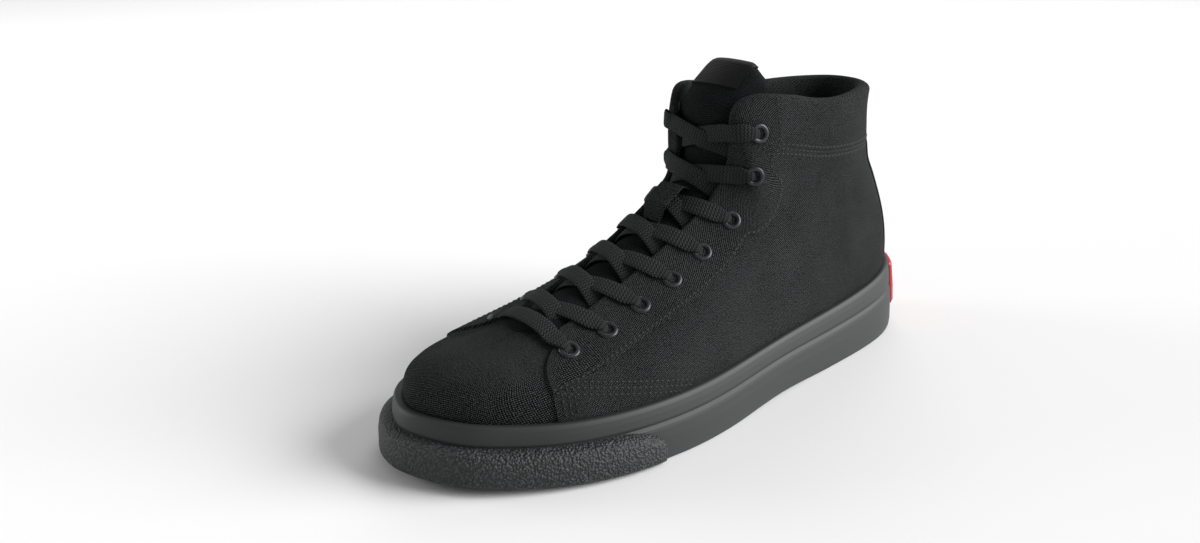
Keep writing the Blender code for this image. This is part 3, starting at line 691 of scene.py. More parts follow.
@dataclass(frozen=True)
class Braid:
    """Flat woven polyester lace: rows of small slanting stitches that meet in arrow heads."""

    name: str
    colour: str = "#040505"
    light: str = "#303333"
    stitch_mm: float = 1.5
    rows: int = 5
    width_mm: float = 8.0
    depth_mm: float = 0.35
    roughness: float = 0.78
    specular: float = 0.12

    def make(self) -> Material:
        """Material of the lace; its map holds the length and the place across.

        Returns:
            The material.
        """
        made, tree = start_material(self.name)
        place = add_node(tree, CLOTH_MAP, uv_map="cloth")
        length, across = add_node(tree, "ShaderNodeSeparateXYZ", {0: place}).node.outputs[:2]
        row = add_node(tree, MATH, {0: across, 1: self.rows / self.width_mm}, operation="MULTIPLY")
        zigzag = add_node(tree, MATH, {0: row, 1: 0.5}, operation="PINGPONG")
        turn = add_node(tree, MATH, {0: zigzag, 1: 1.5, 2: length}, operation=SCALED)
        turn = add_node(tree, MATH, {0: turn, 1: 2 * math.pi / self.stitch_mm}, operation="MULTIPLY")
        stitch = add_node(tree, MATH, {0: turn}, operation="SINE")
        edge = add_node(tree, MATH, {0: row, 1: 0.25}, operation="PINGPONG")
        rib = add_node(tree, MATH, {0: edge, 1: 4.0}, operation="MULTIPLY")
        height = add_node(tree, MATH, {0: stitch, 1: 0.5, 2: 0.5}, operation=SCALED)
        height = add_node(tree, MATH, {0: rib, 1: 0.35, 2: height}, operation=SCALED)
        speck = add_node(tree, NOISE, {"Vector": place, "Scale": 1.6, "Detail": 2.0})
        tone = add_node(tree, MATH, {0: speck, 1: 0.8, 2: -0.35}, operation=SCALED)
        tone = add_node(tree, MATH, {0: height, 1: 0.75, 2: tone}, operation=SCALED)
        return dress(made, tone, (self.colour, self.light),
                     {"Roughness": self.roughness, "Specular IOR Level": self.specular},
                     height, self.depth_mm)


class Skin(Enum):
    """How a rubber surface left its mould."""

    SMOOTH = "smooth"
    PEBBLED = "pebbled"


@dataclass(frozen=True)
class Rubber:
    """Vulcanised rubber: satin where it is smooth, matt where the mould is pebbled."""

    name: str
    colour: str
    roughness: float
    skin: Skin = Skin.SMOOTH
    light: str = "#55585a"
    pebble_mm: float = 0.95
    pebble_depth_mm: float = 0.75
    grain_depth_mm: float = 0.03

    def make(self) -> Material:
        """Material of the rubber, on object coordinates in metres.

        Returns:
            The material.
        """
        made, tree = start_material(self.name)
        place = add_node(tree, OBJECT_PLACE, output="Object")
        cloud = add_node(tree, NOISE, {"Vector": place, "Scale": 28.0, "Detail": 4.0})
        if self.skin is Skin.PEBBLED:
            pebbles = 1 / (self.pebble_mm * MM)
            cells = add_node(tree, "ShaderNodeTexVoronoi", {"Vector": place, "Scale": pebbles},
                             "Distance", feature="SMOOTH_F1")
            fine = add_node(tree, NOISE, {"Vector": place, "Scale": 0.9 * pebbles, "Detail": 3.0})
            height = add_node(tree, MATH, {0: cells, 1: -1.1, 2: 1.0}, operation=SCALED)
            height = add_node(tree, MATH, {0: fine, 1: 0.9, 2: height}, operation=SCALED)
            # pebble middles painted lighter and the gaps between them darker, as the relief would be lit:
            # painted light and shade; the fine noise in it varies the tone at random
            tone = add_node(tree, MATH, {0: height, 1: 1.9, 2: -1.72}, operation=SCALED)
            depth = self.pebble_depth_mm
        else:
            height = add_node(tree, NOISE, {"Vector": place, "Scale": 900.0, "Detail": 2.0})
            tone = add_node(tree, MATH, {0: cloud, 1: 1.2, 2: -0.45}, operation=SCALED)
            depth = self.grain_depth_mm
        rough = add_node(tree, MATH, {0: cloud, 1: 0.16, 2: self.roughness - 0.08}, operation=SCALED)
        return dress(made, tone, (self.colour, self.light), {"Roughness": rough}, height, depth)


@dataclass(frozen=True)
class Enamel:
    """Baked black enamel on a pressed brass eyelet, rubbed brighter in small random patches."""

    name: str = "eyelet_black_enamel"
    colour: str = "#17191a"
    rubbed: str = "#3b3e40"
    metallic: float = 0.55

    def make(self) -> Material:
        """Material of the eyelets, on object coordinates in metres.

        Returns:
            The material.
        """
        made, tree = start_material(self.name)
        place = add_node(tree, OBJECT_PLACE, output="Object")
        cloud = add_node(tree, NOISE, {"Vector": place, "Scale": 600.0, "Detail": 3.0})
        rough = add_node(tree, MATH, {0: cloud, 1: 0.25, 2: 0.26}, operation=SCALED)
        return dress(made, cloud, (self.colour, self.rubbed),
                     {"Roughness": rough, "Metallic": self.metallic})


@dataclass(frozen=True)
class Label:
    """Woven satin ribbon, folded and sewn: close even ribs with a soft shine."""

    name: str = "label_woven_satin"
    colour: str = "#040405"
    light: str = "#0d0e0f"
    rib_mm: float = 0.8
    depth_mm: float = 0.05
    roughness: float = 0.6
    specular: float = 0.2

    def make(self) -> Material:
        """Material of the label, on the piece's map in millimetres.

        Returns:
            The material.
        """
        made, tree = start_material(self.name)
        place = add_node(tree, CLOTH_MAP, uv_map="cloth")
        rib = waves(tree, place, 0.0, 1 / self.rib_mm)
        cross = waves(tree, place, 1 / self.rib_mm, 0.0)
        height = add_node(tree, MATH, {0: cross, 1: 0.3, 2: rib}, operation=SCALED)
        tone = add_node(tree, MATH, {0: height, 1: 0.3, 2: 0.4}, operation=SCALED)
        return dress(made, tone, (self.colour, self.light),
                     {"Roughness": self.roughness, "Specular IOR Level": self.specular},
                     height, self.depth_mm)


@dataclass(frozen=True)
class Plain:
    """Even surface with a fine grain: sewing thread, the near-black painted shade of the seams and the
    eyelets' bores, the pale floor.
    """

    name: str
    colour: str
    roughness: float

    def make(self) -> Material:
        """Material of the surface, on object coordinates in metres.

        Returns:
            The material.
        """
        made, tree = start_material(self.name)
        place = add_node(tree, OBJECT_PLACE, output="Object")
        grain = add_node(tree, NOISE, {"Vector": place, "Scale": 400.0})
        rough = add_node(tree, MATH, {0: grain, 1: 0.1, 2: self.roughness - 0.05}, operation=SCALED)
        fill_inputs(tree.nodes["Principled BSDF"],
                    {"Base Color": linear(self.colour), "Roughness": rough})
        return made


@dataclass(frozen=True)
class Finishes:
    """Every material of the shoe, made once."""

    canvas: Material
    vamp: Material
    collar: Material
    lining: Material
    tape: Material
    tongue: Material
    lace: Material
    label: Material
    foxing: Material
    bumper: Material
    patch: Material
    sole: Material
    eyelet: Material
    thread: Material
    hole: Material

    @classmethod
    def make(cls) -> "Finishes":
        """Make the materials.

        Returns:
            The materials.
        """
        return cls(
            canvas=Canvas("quarter_cotton_twill").make(),
            # the quarter's canvas in a darker copy on the vamp: painted shade of the toe, turned away
            # from the key lamp
            vamp=Canvas("vamp_twill_painted_shade", colour="#010101", light="#262929").make(),
            # the canvas in a lighter copy on the padded collar: painted light where the key lamp falls
            # near the heel; its finer bump is real
            collar=Canvas("collar_twill_painted_light", colour="#0a0b0b", light="#4e5252",
                          depth_mm=0.07).make(),
            lining=Canvas("lining_knit_jersey", colour="#0a0b0c", light="#1c1e20", line_mm=1.2,
                          lean=0.0).make(),
            # the tape's black cloth drawn darker than the quarter's: its own black plus painted shade of
            # the heel's back
            tape=Canvas("heel_tape_painted_shade", colour="#050606", light="#121314", lean=0.0).make(),
            # the canvas in a darker copy on the tongue: painted shade of the tongue sunk between the
            # eyestays
            tongue=Canvas("tongue_twill_painted_shade", colour="#020303", light="#2a2d2e").make(),
            lace=Braid("lace_flat_polyester").make(),
            label=Label().make(),
            foxing=Rubber("foxing_smooth_rubber", "#1e2121", 0.60, light="#262929").make(),
            bumper=Rubber("bumper_pebbled_rubber", "#0e1011", 0.60, Skin.PEBBLED,
                          light="#3a3e40").make(),
            patch=Rubber("heel_patch_red_rubber", "#9c0a18", 0.40, light="#b01222").make(),
            sole=Rubber("outsole_moulded_rubber", "#262829", 0.60, light="#303334").make(),
            eyelet=Enamel().make(),
            thread=Plain("sewing_thread_waxed", "#131516", 0.7).make(),
            # near-black sheet under the seams' stitches and across the eyelets' bores: painted shade
            hole=Plain("needle_hole_shadow", "#030303", 0.95).make(),
        )


# Mesh work


@dataclass
class Patchwork:
    """A mesh sewn from grids, each with its map in millimetres."""

    name: str
    vertices: list[Array] = field(default_factory=list)
    maps: list[Array] = field(default_factory=list)
    faces: list[Array] = field(default_factory=list)
    slots: list[Array] = field(default_factory=list)

    def grid(self, points: Array, cloth: Array, slot: int | Array = 0) -> None:
        """Add a grid of points.

        Args:
            points: rows by columns by 3, on the last. A closed grid repeats its first
                row or column at the end.
            cloth: rows by columns by 2, the map in millimetres.
            slot: material number, one or one for each face.
        """
        rows, columns = points.shape[:2]
        base = sum(len(v) for v in self.vertices)
        r, c = np.meshgrid(np.arange(rows - 1), np.arange(columns - 1), indexing="ij")
        first = (r * columns + c).ravel() + base
        self.vertices.append(to_frame(points).reshape(-1, 3))
        self.maps.append(cloth.reshape(-1, 2))
        self.faces.append(np.stack([first, first + 1, first + columns + 1, first + columns], 1))
        self.slots.append(np.broadcast_to(slot, (rows - 1, columns - 1)).ravel())

    def fan(self, ring: Array, cloth: Array, slot: int = 0) -> None:
        """Close a ring of points with a small disc about its middle.

        Args:
            ring: the points.
            cloth: their map.
            slot: material number.
        """
        middle = np.broadcast_to(ring.mean(0), ring.shape)
        place = np.broadcast_to(cloth.mean(0), cloth.shape)
        self.grid(np.stack([ring, middle]), np.stack([cloth, place]), slot)

    def slab(self, high: Array, low: Array, cloth: Array, closed: bool = True) -> None:
        """Add two faces and the strips between their edges.

        Args:
            high: grid of the outer face.
            low: grid of the inner face, of the same size.
            cloth: the map of both.
            closed: whether the first and last columns get a strip too, as the rows do.
        """
        self.grid(high, cloth)
        self.grid(low, cloth)
        edges = [(np.s_[:1], 0), (np.s_[-1:], 0), (np.s_[:, :1], 1), (np.s_[:, -1:], 1)]
        for edge, axis in edges if closed else edges[:2]:
            self.grid(np.concatenate([high[edge], low[edge]], axis),
                      np.concatenate([cloth[edge]] * 2, axis))

    def finish(self, materials: Sequence[Material], body_slot: str, *replaced: str,
               smooth_angle: float = 40.0) -> Object:
        """Make the object, riding on the shoe's body.

        Args:
            materials: the object's materials in order.
            body_slot: the piece's material slot; not used.
            replaced: the CAD nodes that the piece stands for.
            smooth_angle: edges sharper than this many degrees stay sharp.

        Returns:
            The object.
        """
        mesh = bpy.data.meshes.new(self.name)
        mesh.from_pydata(np.concatenate(self.vertices), [], np.concatenate(self.faces))
        layer = mesh.uv_layers.new(name="cloth")
        corners = np.empty(len(mesh.loops), np.int32)
        mesh.loops.foreach_get("vertex_index", corners)
        layer.data.foreach_set("uv", np.concatenate(self.maps)[corners].astype(np.float32).ravel())
        mesh.polygons.foreach_set("material_index", np.concatenate(self.slots).astype(np.int32))
        shape = bmesh.new()
        shape.from_mesh(mesh)
        bmesh.ops.remove_doubles(shape, verts=shape.verts, dist=1e-6)
        bmesh.ops.dissolve_degenerate(shape, edges=shape.edges, dist=1e-7)
        bmesh.ops.recalc_face_normals(shape, faces=shape.faces)
        shape.to_mesh(mesh)
        shape.free()
        mesh.shade_smooth()
        mesh.set_sharp_from_angle(angle=math.radians(smooth_angle))
        return place_piece(mesh, materials, replaced)


def place_piece(mesh: bpy.types.Mesh, materials: Sequence[Material],
                replaced: Sequence[str] = ()) -> Object:
    """Object of a finished mesh, riding on the shoe's body in place of CAD nodes.

    Args:
        mesh: the mesh.
        materials: its materials in order.
        replaced: the CAD nodes it stands for.

    Returns:
        The object.
    """
    made = bpy.data.objects.new(mesh.name, mesh)
    mesh.materials.clear()
    for material in materials:
        mesh.materials.append(material)
    bpy.context.scene.collection.objects.link(made)
    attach(made, "root")
    if replaced:
        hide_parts(*replaced)
    LOG.info("%s: %d faces", mesh.name, len(mesh.polygons))
    return made


def lengths(points: Array, axis: int) -> Array:
    """Length run along an axis of a grid of points, in millimetres.

    Args:
        points: the grid.
        axis: the axis.

    Returns:
        Length at every point.
    """
    steps = np.linalg.norm(np.diff(points, axis=axis), axis=-1)
    start = np.zeros_like(np.take(steps, [0], axis=axis))
    return np.concatenate([start, np.cumsum(steps, axis=axis)], axis=axis) / MM


def measured(points: Array) -> Array:
    """Map of a grid in millimetres: its length along the rows and down the columns."""
    return np.stack([lengths(points, 1), lengths(points, 0)], -1)


# The upper


def rib_columns(start: float, end: float, count: int, *doubled: float) -> Array:
    """Ribs from start to end, with a close pair at each doubled place.

    Args:
        start: first rib.
        end: last rib.
        count: ribs in an even row.
        doubled: ribs of the close pairs.

    Returns:
        The ribs.
    """
    pairs = [d + o for d in doubled for o in (-0.0006, 0.0018) if start < d < end]
    plain = [a for a in np.linspace(start, end, count) if all(abs(a - d) > 0.003 for d in doubled)]
    return np.unique(np.concatenate([plain, pairs]))


@dataclass(frozen=True)
class Crease:
    """One soft fold of the cloth, as a line over the skin.

    Attributes:
        points: (rib, height share) places along the fold.
        depth_mm: how deep the fold is; below zero it is a ridge.
        width_mm: half width of the fold.
        sides: the sides of the shoe that have it.
    """

    points: tuple[tuple[float, float], ...]
    depth_mm: float
    width_mm: float
    sides: tuple[int, ...] = (1, -1)

    def push(self, last: Last, place: Array, side: int) -> Array:
        """How far the fold moves points of the skin, in metres.

        Args:
            last: the shoe's last.
            place: points of the skin.
            side: 1 outer, -1 inner.

        Returns:
            The move along the skin's normal.
        """
        if side not in self.sides:
            return np.zeros(place.shape[:-1])
        at, v = np.array(self.points).T
        steps = np.linspace(0, len(at) - 1, 24)
        along = np.arange(len(at))
        line = last.skin(np.interp(steps, along, at), np.interp(steps, along, v), side)
        gap = np.full(place.shape[:-1], np.inf)
        share = np.zeros(place.shape[:-1])
        for i, (a, b) in enumerate(zip(line[:-1], line[1:])):
            run = b - a
            t = np.clip(((place - a) @ run) / (run @ run), 0, 1)
            d = np.linalg.norm(place - a - t[..., None] * run, axis=-1)
            share = np.where(d < gap, (i + t) / (len(line) - 1), share)
            gap = np.minimum(gap, d)
        fade = smooth(share / 0.3) * smooth((1 - share) / 0.3)
        return -self.depth_mm * MM * fade * np.exp(-(gap / (self.width_mm * MM)) ** 2)


CREASES = (
    Crease(((0.352, 0.70), (0.36, 0.56), (0.375, 0.46)), 0.8, 6.0),
    Crease(((0.30, 0.62), (0.335, 0.54), (0.385, 0.50)), 0.7, 5.5),
    Crease(((0.25, 0.55), (0.31, 0.45), (0.40, 0.42)), -0.6, 8.0),
    Crease(((0.06, 0.66), (0.14, 0.62), (0.23, 0.66)), 0.6, 6.0),
    Crease(((0.44, 0.40), (0.50, 0.36), (0.56, 0.40)), 0.5, 7.0),
    Crease(((0.80, 0.55), (0.83, 0.62), (0.86, 0.80)), 0.5, 5.0),
    Crease(((0.83, 0.30), (0.87, 0.42), (0.91, 0.62)), 0.35, 6.0),
    Crease(((0.34, 0.93), (0.29, 0.90), (0.22, 0.93)), 0.5, 5.0),
    Crease(((0.10, 0.86), (0.18, 0.84), (0.26, 0.87)), -0.5, 8.0),
)


@dataclass
class Upper:
    """Vamp, quarters and padded collar: one hollow shell with its rounded top line."""

    last: Last
    columns: int = 150
    rows: int = 64
    rim_steps: int = 10
    rim_height: float = 2.6 * MM
    hem: float = 14 * MM
    inner_hem: float = 15 * MM

    def face(self, at: Array, v: Array, side: int, out: Array = 0.0) -> Array:
        """Outer face with its folds, moved out by a distance.

        Args:
            at: ribs.
            v: height shares.
            side: 1 outer, -1 inner.
            out: distance out.

        Returns:
            Points.
        """
        points = self.last.skin(at, v, side, out)
        move = sum(crease.push(self.last, points, side) for crease in CREASES)
        return points + self.last.normal(at, v, side) * np.expand_dims(move, -1)

    def crown(self, at: Array, side: int, turn: float) -> Array:
        """Point of the rounded top line, at a turn from the outer face to the inner one.

        Args:
            at: ribs.
            side: 1 outer, -1 inner.
            turn: 0 at the outer face, pi at the inner one.

        Returns:
            Points.
        """
        last = self.last
        v = np.ones_like(at)
        thick = last.wall(at, v)
        normal = last.normal(at, v, side)
        toe, top = last.slopes(at, v, side)
        run = unit(toe)
        up = unit(top - run * np.sum(top * run, -1, keepdims=True))
        middle = last.skin(at, v, side, -thick / 2)
        height = np.minimum(thick / 2, self.rim_height)
        return (middle + normal * (math.cos(turn) * thick / 2)[:, None]
                + up * (math.sin(turn) * height)[:, None])

    def build(self, looks: Finishes) -> Object:
        """Build the shell.

        Args:
            looks: the shoe's materials.

        Returns:
            The object.
        """
        last = self.last
        at = rib_columns(0, 1, self.columns, last.quarter_end)
        seam = last.collar_seam
        v = np.linspace(0, 1, self.rows)
        v = np.sort(np.concatenate([v[np.abs(v - seam) > 0.012], seam + np.linspace(-.007, .007, 5)]))
        work = Patchwork("upper_shell")
        a, b = np.meshgrid(at, v)
        near = 1 - smooth(np.abs(a - last.quarter_end) / 0.07)
        a = a + (last.front_edge(b) - last.quarter_end) * near
        for side in (1, -1):
            outer = self.face(a, b, side)
            low = last.point(a[0], 0.0, side) - last.normal(a[0], 0.0, side) * 0.6 * MM
            hem = low[None] - [0, 0, self.hem]
            turns = np.linspace(0, math.pi, self.rim_steps + 2)
            rim = np.stack([self.crown(at, side, t) for t in turns])
            c, d = np.meshgrid(at, np.linspace(1, 0, 30))
            inner = last.skin(c, d, side, -last.wall(c, d))
            floor = inner[-1:] - [0, 0, self.inner_hem]
            outside = np.concatenate([hem, outer])
            across = lengths(outside, 0)
            along = lengths(last.point(at, last.map_height, side), 0) * side
            along = np.broadcast_to(along, across.shape)
            middle = (at[:-1] + at[1:]) / 2
            vamp, collar = middle > last.quarter_end, middle < last.collar_end
            high = (v[:-1] + v[1:]) / 2 > seam
            # the vamp takes the darker copy of the canvas: painted shade
            slots = np.repeat(vamp.astype(int)[None], len(outside) - 1, 0)
            # the collar's cloth takes the lighter copy of the canvas: painted light
            slots[1:] = np.where(high[:, None] & collar[None, :], 2, slots[1:])
            work.grid(outside, np.stack([along, across], -1), slots)
            tops = lengths(rim, 0)
            rim_slots = np.repeat(np.where(collar, 2, vamp)[None], len(rim) - 1, 0)
            rim_slots[len(rim) // 2 + 1:] = 3
            work.grid(rim, np.stack([np.broadcast_to(along[0], tops.shape), across[-1] + tops], -1),
                      rim_slots)
            inside = np.concatenate([rim[-1:], inner[1:], floor])
            run = lengths(inside, 0)
            work.grid(inside, np.stack([np.broadcast_to(along[0], run.shape), run], -1), 3)
            closing = np.stack([floor[0], outside[0]])
            work.grid(closing, np.stack([along[:2], across[:2]], -1), 3)
        made = work.finish((looks.canvas, looks.vamp, looks.collar, looks.lining), "canvas", "upper")
        return made


# Lines back-projected on the outer skin as (rib, height share); the inner side repeats them
EYESTAY_LINE = (
    (0.3330, 1.000), (0.3362, 0.898), (0.3507, 0.768), (0.3674, 0.724), (0.3743, 0.683),
    (0.3705, 0.622), (0.3797, 0.580), (0.3961, 0.552), (0.4231, 0.540), (0.4441, 0.560),
    (0.4738, 0.604), (0.4930, 0.655), (0.5200, 0.632), (0.5662, 0.597), (0.6069, 0.580),
    (0.6469, 0.556), (0.6803, 0.515), (0.7087, 0.461), (0.7347, 0.385), (0.7680, 0.300),
)
VAMP_LINE = ((0.7656, 0.352), (0.7088, 0.226), (0.6488, 0.102), (0.5950, 0.010))
COLLAR_LINE = ((0.3522, 0.763), (0.3300, 0.755), (0.3013, 0.752), (0.2669, 0.757),
               (0.2000, 0.760), (0.1300, 0.760))


@dataclass(frozen=True)
class Seam:
    """A row of stitches on the skin.

    Attributes:
        at: ribs along the seam.
        v: height shares along it.
        side: 1 outer, -1 inner.
        out: height of the cloth it is sewn to over the plain skin.
    """

    at: Array
    v: Array
    side: int
    out: float = 0.0


def eased(points: Sequence[tuple[float, float]], count: int) -> tuple[Array, Array]:
    """Smooth line through (rib, height share) points, as that many places.

    Args:
        points: the points.
        count: how many places.

    Returns:
        Ribs and height shares.
    """
    at, v = np.array(points).T
    along = np.concatenate([[0], np.cumsum(np.hypot(np.diff(at) * 300, np.diff(v) * 80))])
    fine = np.linspace(0, along[-1], count)
    first = spline(along, at, False)(fine)
    second = spline(along, v, False)(fine)
    return first, second


def beside(last: Last, at: Array, v: Array, side: int, gap: float) -> tuple[Array, Array]:
    """A line on the skin parallel to another, at a distance toward its left.

    Args:
        last: the shoe's last.
        at: ribs of the line.
        v: its height shares.
        side: 1 outer, -1 inner.
        gap: the distance; below zero it is toward the right.

    Returns:
        Ribs and height shares.
    """
    toe, top = last.slopes(at, v, side)
    line = last.point(at, v, side)
    run = unit(np.gradient(line, axis=0))
    normal = last.normal(at, v, side)
    ahead, higher = last.change(toe, top, unit(np.cross(normal, run)) * gap)
    return at + ahead, v + higher


@dataclass
class Eyestay:
    """The panel under the eyelets: a second layer of canvas with a stitched edge."""

    last: Last
    upper: Upper
    thickness: float = 0.55 * MM
    columns: int = 200
    rows: int = 26
    margin: float = 1.6 * MM

    def boundary(self, side: int) -> tuple[Array, Array]:
        """Edge of the panel, a little outside its stitches."""
        at, v = eased(EYESTAY_LINE, 160)
        return beside(self.last, at, v, side, -self.margin * side)

    def build(self, looks: Finishes, side: int) -> Object:
        """Build the panel of one side.

        Args:
            looks: the shoe's materials.
            side: 1 outer, -1 inner.

        Returns:
            The object.
        """
        last = self.last
        at, v = self.boundary(side)
        steps = np.linspace(0, 1, self.columns)
        place = np.linspace(0, 1, len(at))
        edge_at = np.interp(steps, place, at)
        edge_v = np.clip(np.interp(steps, place, v), 0, 1)
        top_at = last.collar_end - 0.003 + (last.quarter_end - 0.001 - last.collar_end) * steps
        w = np.concatenate([[0, 0], np.linspace(0.02, 1, self.rows)])
        grid_at = edge_at + (top_at - edge_at) * w[:, None]
        grid_v = edge_v + (1 - edge_v) * w[:, None]
        front = smooth((steps - 0.86) / 0.14)
        grid_at = grid_at + (last.front_edge(grid_v) - 0.001 - grid_at) * front
        lift = np.full(grid_at.shape, self.thickness)
        lift[0] = -0.5 * MM
        lift[1] = 0.6 * self.thickness
        lift[:, -2] *= 0.8
        lift[:, -1] = -0.7 * MM
        points = self.upper.face(grid_at, grid_v, side, lift)
        turns = np.linspace(0.0, 0.5 * math.pi, 5)[1:]
        crown = np.stack([self.upper.crown(top_at, side, t)
                          + last.normal(top_at, 1.0, side) * self.thickness * math.cos(t)
                          for t in turns])
        points = np.concatenate([points, crown])
        along = lengths(last.point(top_at, last.map_height, side), 0) * side
        along = np.broadcast_to(along, points.shape[:2])
        across = lengths(points, 0)
        across = across - across[-1] + 130
        work = Patchwork(f"eyestay_{Side(side).name.lower()}")
        work.grid(points, np.stack([along, across], -1))
        return work.finish((looks.canvas,), "canvas")


# Stitches


def stitch_tree(thread: Material) -> bpy.types.NodeTree:
    """Geometry Nodes that set one small stitch on every point and make them real.

    Args:
        thread: the stitches' material.

    Returns:
        The tree.
    """
    tree = bpy.data.node_groups.new("stitches", "GeometryNodeTree")
    face = tree.interface
    face.new_socket("Points", in_out="INPUT", socket_type="NodeSocketGeometry")
    for name in ("Stitch length", "Stitch width", "Stitch height"):
        face.new_socket(name, in_out="INPUT", socket_type="NodeSocketFloat")
    face.new_socket("Stitches", in_out="OUTPUT", socket_type="NodeSocketGeometry")
    given = tree.nodes.new("NodeGroupInput").outputs
    ball = add_node(tree, "GeometryNodeMeshUVSphere", {"Segments": 6, "Rings": 4, "Radius": 0.5})
    size = add_node(tree, "ShaderNodeCombineXYZ", {0: given["Stitch length"],
                                                   1: given["Stitch width"],
                                                   2: given["Stitch height"]})
    run, facing = (add_node(tree, "GeometryNodeInputNamedAttribute", {"Name": name},
                            data_type="FLOAT_VECTOR") for name in ("run", "facing"))
    turned = add_node(tree, "FunctionNodeAlignRotationToVector", {"Vector": run}, axis="X")
    turned = add_node(tree, "FunctionNodeAlignRotationToVector",
                      {"Rotation": turned, "Vector": facing}, axis="Z", pivot_axis="X")
    wobble = add_node(tree, "FunctionNodeRandomValue", {2: 0.88, 3: 1.08, "Seed": 7}, 1,
                      data_type="FLOAT")
    scale = add_node(tree, "ShaderNodeVectorMath", {0: size, "Scale": wobble}, operation="SCALE")
    placed = add_node(tree, "GeometryNodeInstanceOnPoints",
                      {"Points": given["Points"], "Instance": ball, "Rotation": turned,
                       "Scale": scale})
    real = add_node(tree, "GeometryNodeRealizeInstances", {0: placed})
    smoothed = add_node(tree, "GeometryNodeSetShadeSmooth", {"Geometry": real})
    done = add_node(tree, "GeometryNodeSetMaterial", {"Geometry": smoothed, "Material": thread})
    tree.links.new(done, tree.nodes.new("NodeGroupOutput").inputs["Stitches"])
    return tree


@dataclass
class Stitching:
    """All rows of sewing on the canvas, with a dark strip of painted shade under each row."""

    last: Last
    upper: Upper
    pitch: float = 2.6 * MM
    length: float = 1.75 * MM
    width: float = 0.70 * MM
    height: float = 0.45 * MM
    row_gap: float = 2.5 * MM
    collar_gap: float = 2.1 * MM
    over_skin: float = 0.10 * MM
    line_over_skin: float = 0.05 * MM

    def rows(self, side: int, panel: float) -> list[Seam]:
        """Every row of one side of the shoe.

        Args:
            side: 1 outer, -1 inner.
            panel: thickness of the eyestay.

        Returns:
            The rows.
        """
        last = self.last
        stay = eased(EYESTAY_LINE, 160)
        rows = [Seam(*stay, side, panel)]
        vamp = eased(VAMP_LINE, 60)
        rows += [Seam(*beside(last, *vamp, side, k * self.row_gap * side), side) for k in (-1, 0, 1)]
        collar = eased(COLLAR_LINE, 60)
        rows += [Seam(*beside(last, *collar, side, k * self.collar_gap * side), side) for k in (-1, 0, 1)]
        v = np.linspace(0.02, 0.965, 80)
        front = last.front_edge(v) - 0.003
        for k, reach in ((1, v < 0.44), (2, v < 0.40), (3, v < 0.36)):
            at, high = beside(last, front, v, side, k * self.row_gap * side)
            rows.append(Seam(at[reach], high[reach], side))
        return rows

    def build(self, looks: Finishes, panel: float) -> list[Object]:
        """Build the stitches and the dark strips of painted shade under them.

        Args:
            looks: the shoe's materials.
            panel: thickness of the eyestay.

        Returns:
            The stitches and the strips of painted shade.
        """
        tree = stitch_tree(looks.thread)
        places, runs, facings = [], [], []
        # dark strips under the rows of stitches: painted shade of the seams' grooves
        work = Patchwork("seam_shade_lines")
        for side in (1, -1):
            for row in self.rows(side, panel):
                skin = self.upper.face(row.at, row.v, side, row.out)
                length = lengths(skin, 0) * MM
                count = max(int(length[-1] / self.pitch), 2)
                want = np.linspace(0.3 * self.pitch, length[-1] - 0.3 * self.pitch, count)
                at, v = np.interp(want, length, row.at), np.interp(want, length, row.v)
                line = to_frame(self.upper.face(at, v, side, row.out + self.over_skin))
                facing = self.last.normal(at, v, side) * np.array([1.0, -1.0, 1.0])
                places.append(line)
                runs.append(unit(np.gradient(line, axis=0)))
                facings.append(facing)
                self.painted_seam_shade(work, row)
        mesh = bpy.data.meshes.new("stitch_places")
        mesh.from_pydata(np.concatenate(places), [], [])
        for name, rows in (("run", runs), ("facing", facings)):
            layer = mesh.attributes.new(name, "FLOAT_VECTOR", "POINT")
            layer.data.foreach_set("vector", np.concatenate(rows).astype(np.float32).ravel())
        carrier = bpy.data.objects.new("stitch_points", mesh)
        bpy.context.scene.collection.objects.link(carrier)
        nodes = carrier.modifiers.new("stitches", "NODES")
        nodes.node_group = tree
        sizes = {"Stitch length": self.length, "Stitch width": self.width,
                 "Stitch height": self.height}
        for item in tree.interface.items_tree:
            if item.item_type == "SOCKET" and item.name in sizes:
                nodes[item.identifier] = sizes[item.name]
        bpy.context.view_layer.update()
        depsgraph = bpy.context.evaluated_depsgraph_get()
        made = bpy.data.meshes.new_from_object(carrier.evaluated_get(depsgraph))
        made.name = "stitches"
        bpy.data.objects.remove(carrier)
        return [place_piece(made, (looks.thread,)),
                work.finish((looks.hole,), "canvas")]

    def painted_seam_shade(self, work: Patchwork, row: Seam, half: float = 0.60 * MM) -> None:
        """Thin dark strip that the stitches lie in: painted shade of the seam's groove.

        Args:
            work: mesh of the lines.
            row: the row.
            half: half the line's width.
        """
        strips = []
        for shift in (-half, half):
            at, v = beside(self.last, row.at, row.v, row.side, shift)
            strips.append(self.upper.face(at, v, row.side, row.out + self.line_over_skin))
        points = np.stack(strips)
        work.grid(points, measured(points))


# Eyelets and laces


@dataclass
class Throat:
    """Where the eyelets stand on the eyestays."""

    last: Last
    count: int = 8
    setback: float = 12.5 * MM
    top_drop: float = 12 * MM
    front_gap: float = 16 * MM

    def distance(self, number: float) -> float:
        """Distance of an eyelet along the throat's edge; 1 is the foremost.

        Args:
            number: the eyelet's number.

        Returns:
            The distance from the collar's corner.
        """
        front = self.last.throat_length[-1] - self.front_gap
        pitch = (front - self.top_drop) / (self.count - 1)
        return front - pitch * (number - 1)

    def rib(self, number: float) -> float:
        """Rib of an eyelet."""
        return float(self.last.rib_at(self.distance(number)))

    def half(self, number: float) -> float:
        """Half the throat's width at an eyelet."""
        return self.last.half_width(self.rib(number))

    def centre(self, number: int, side: int) -> tuple[Array, Array]:
        """Centre of an eyelet on the skin, and its normal.

        Args:
            number: the eyelet's number.
            side: 1 outer, -1 inner.

        Returns:
            The centre and the normal.
        """
        at = self.rib(number)
        points, normals, _ = self.last.throat(at, side * (self.half(number) + self.setback))
        return points[0], normals[0]


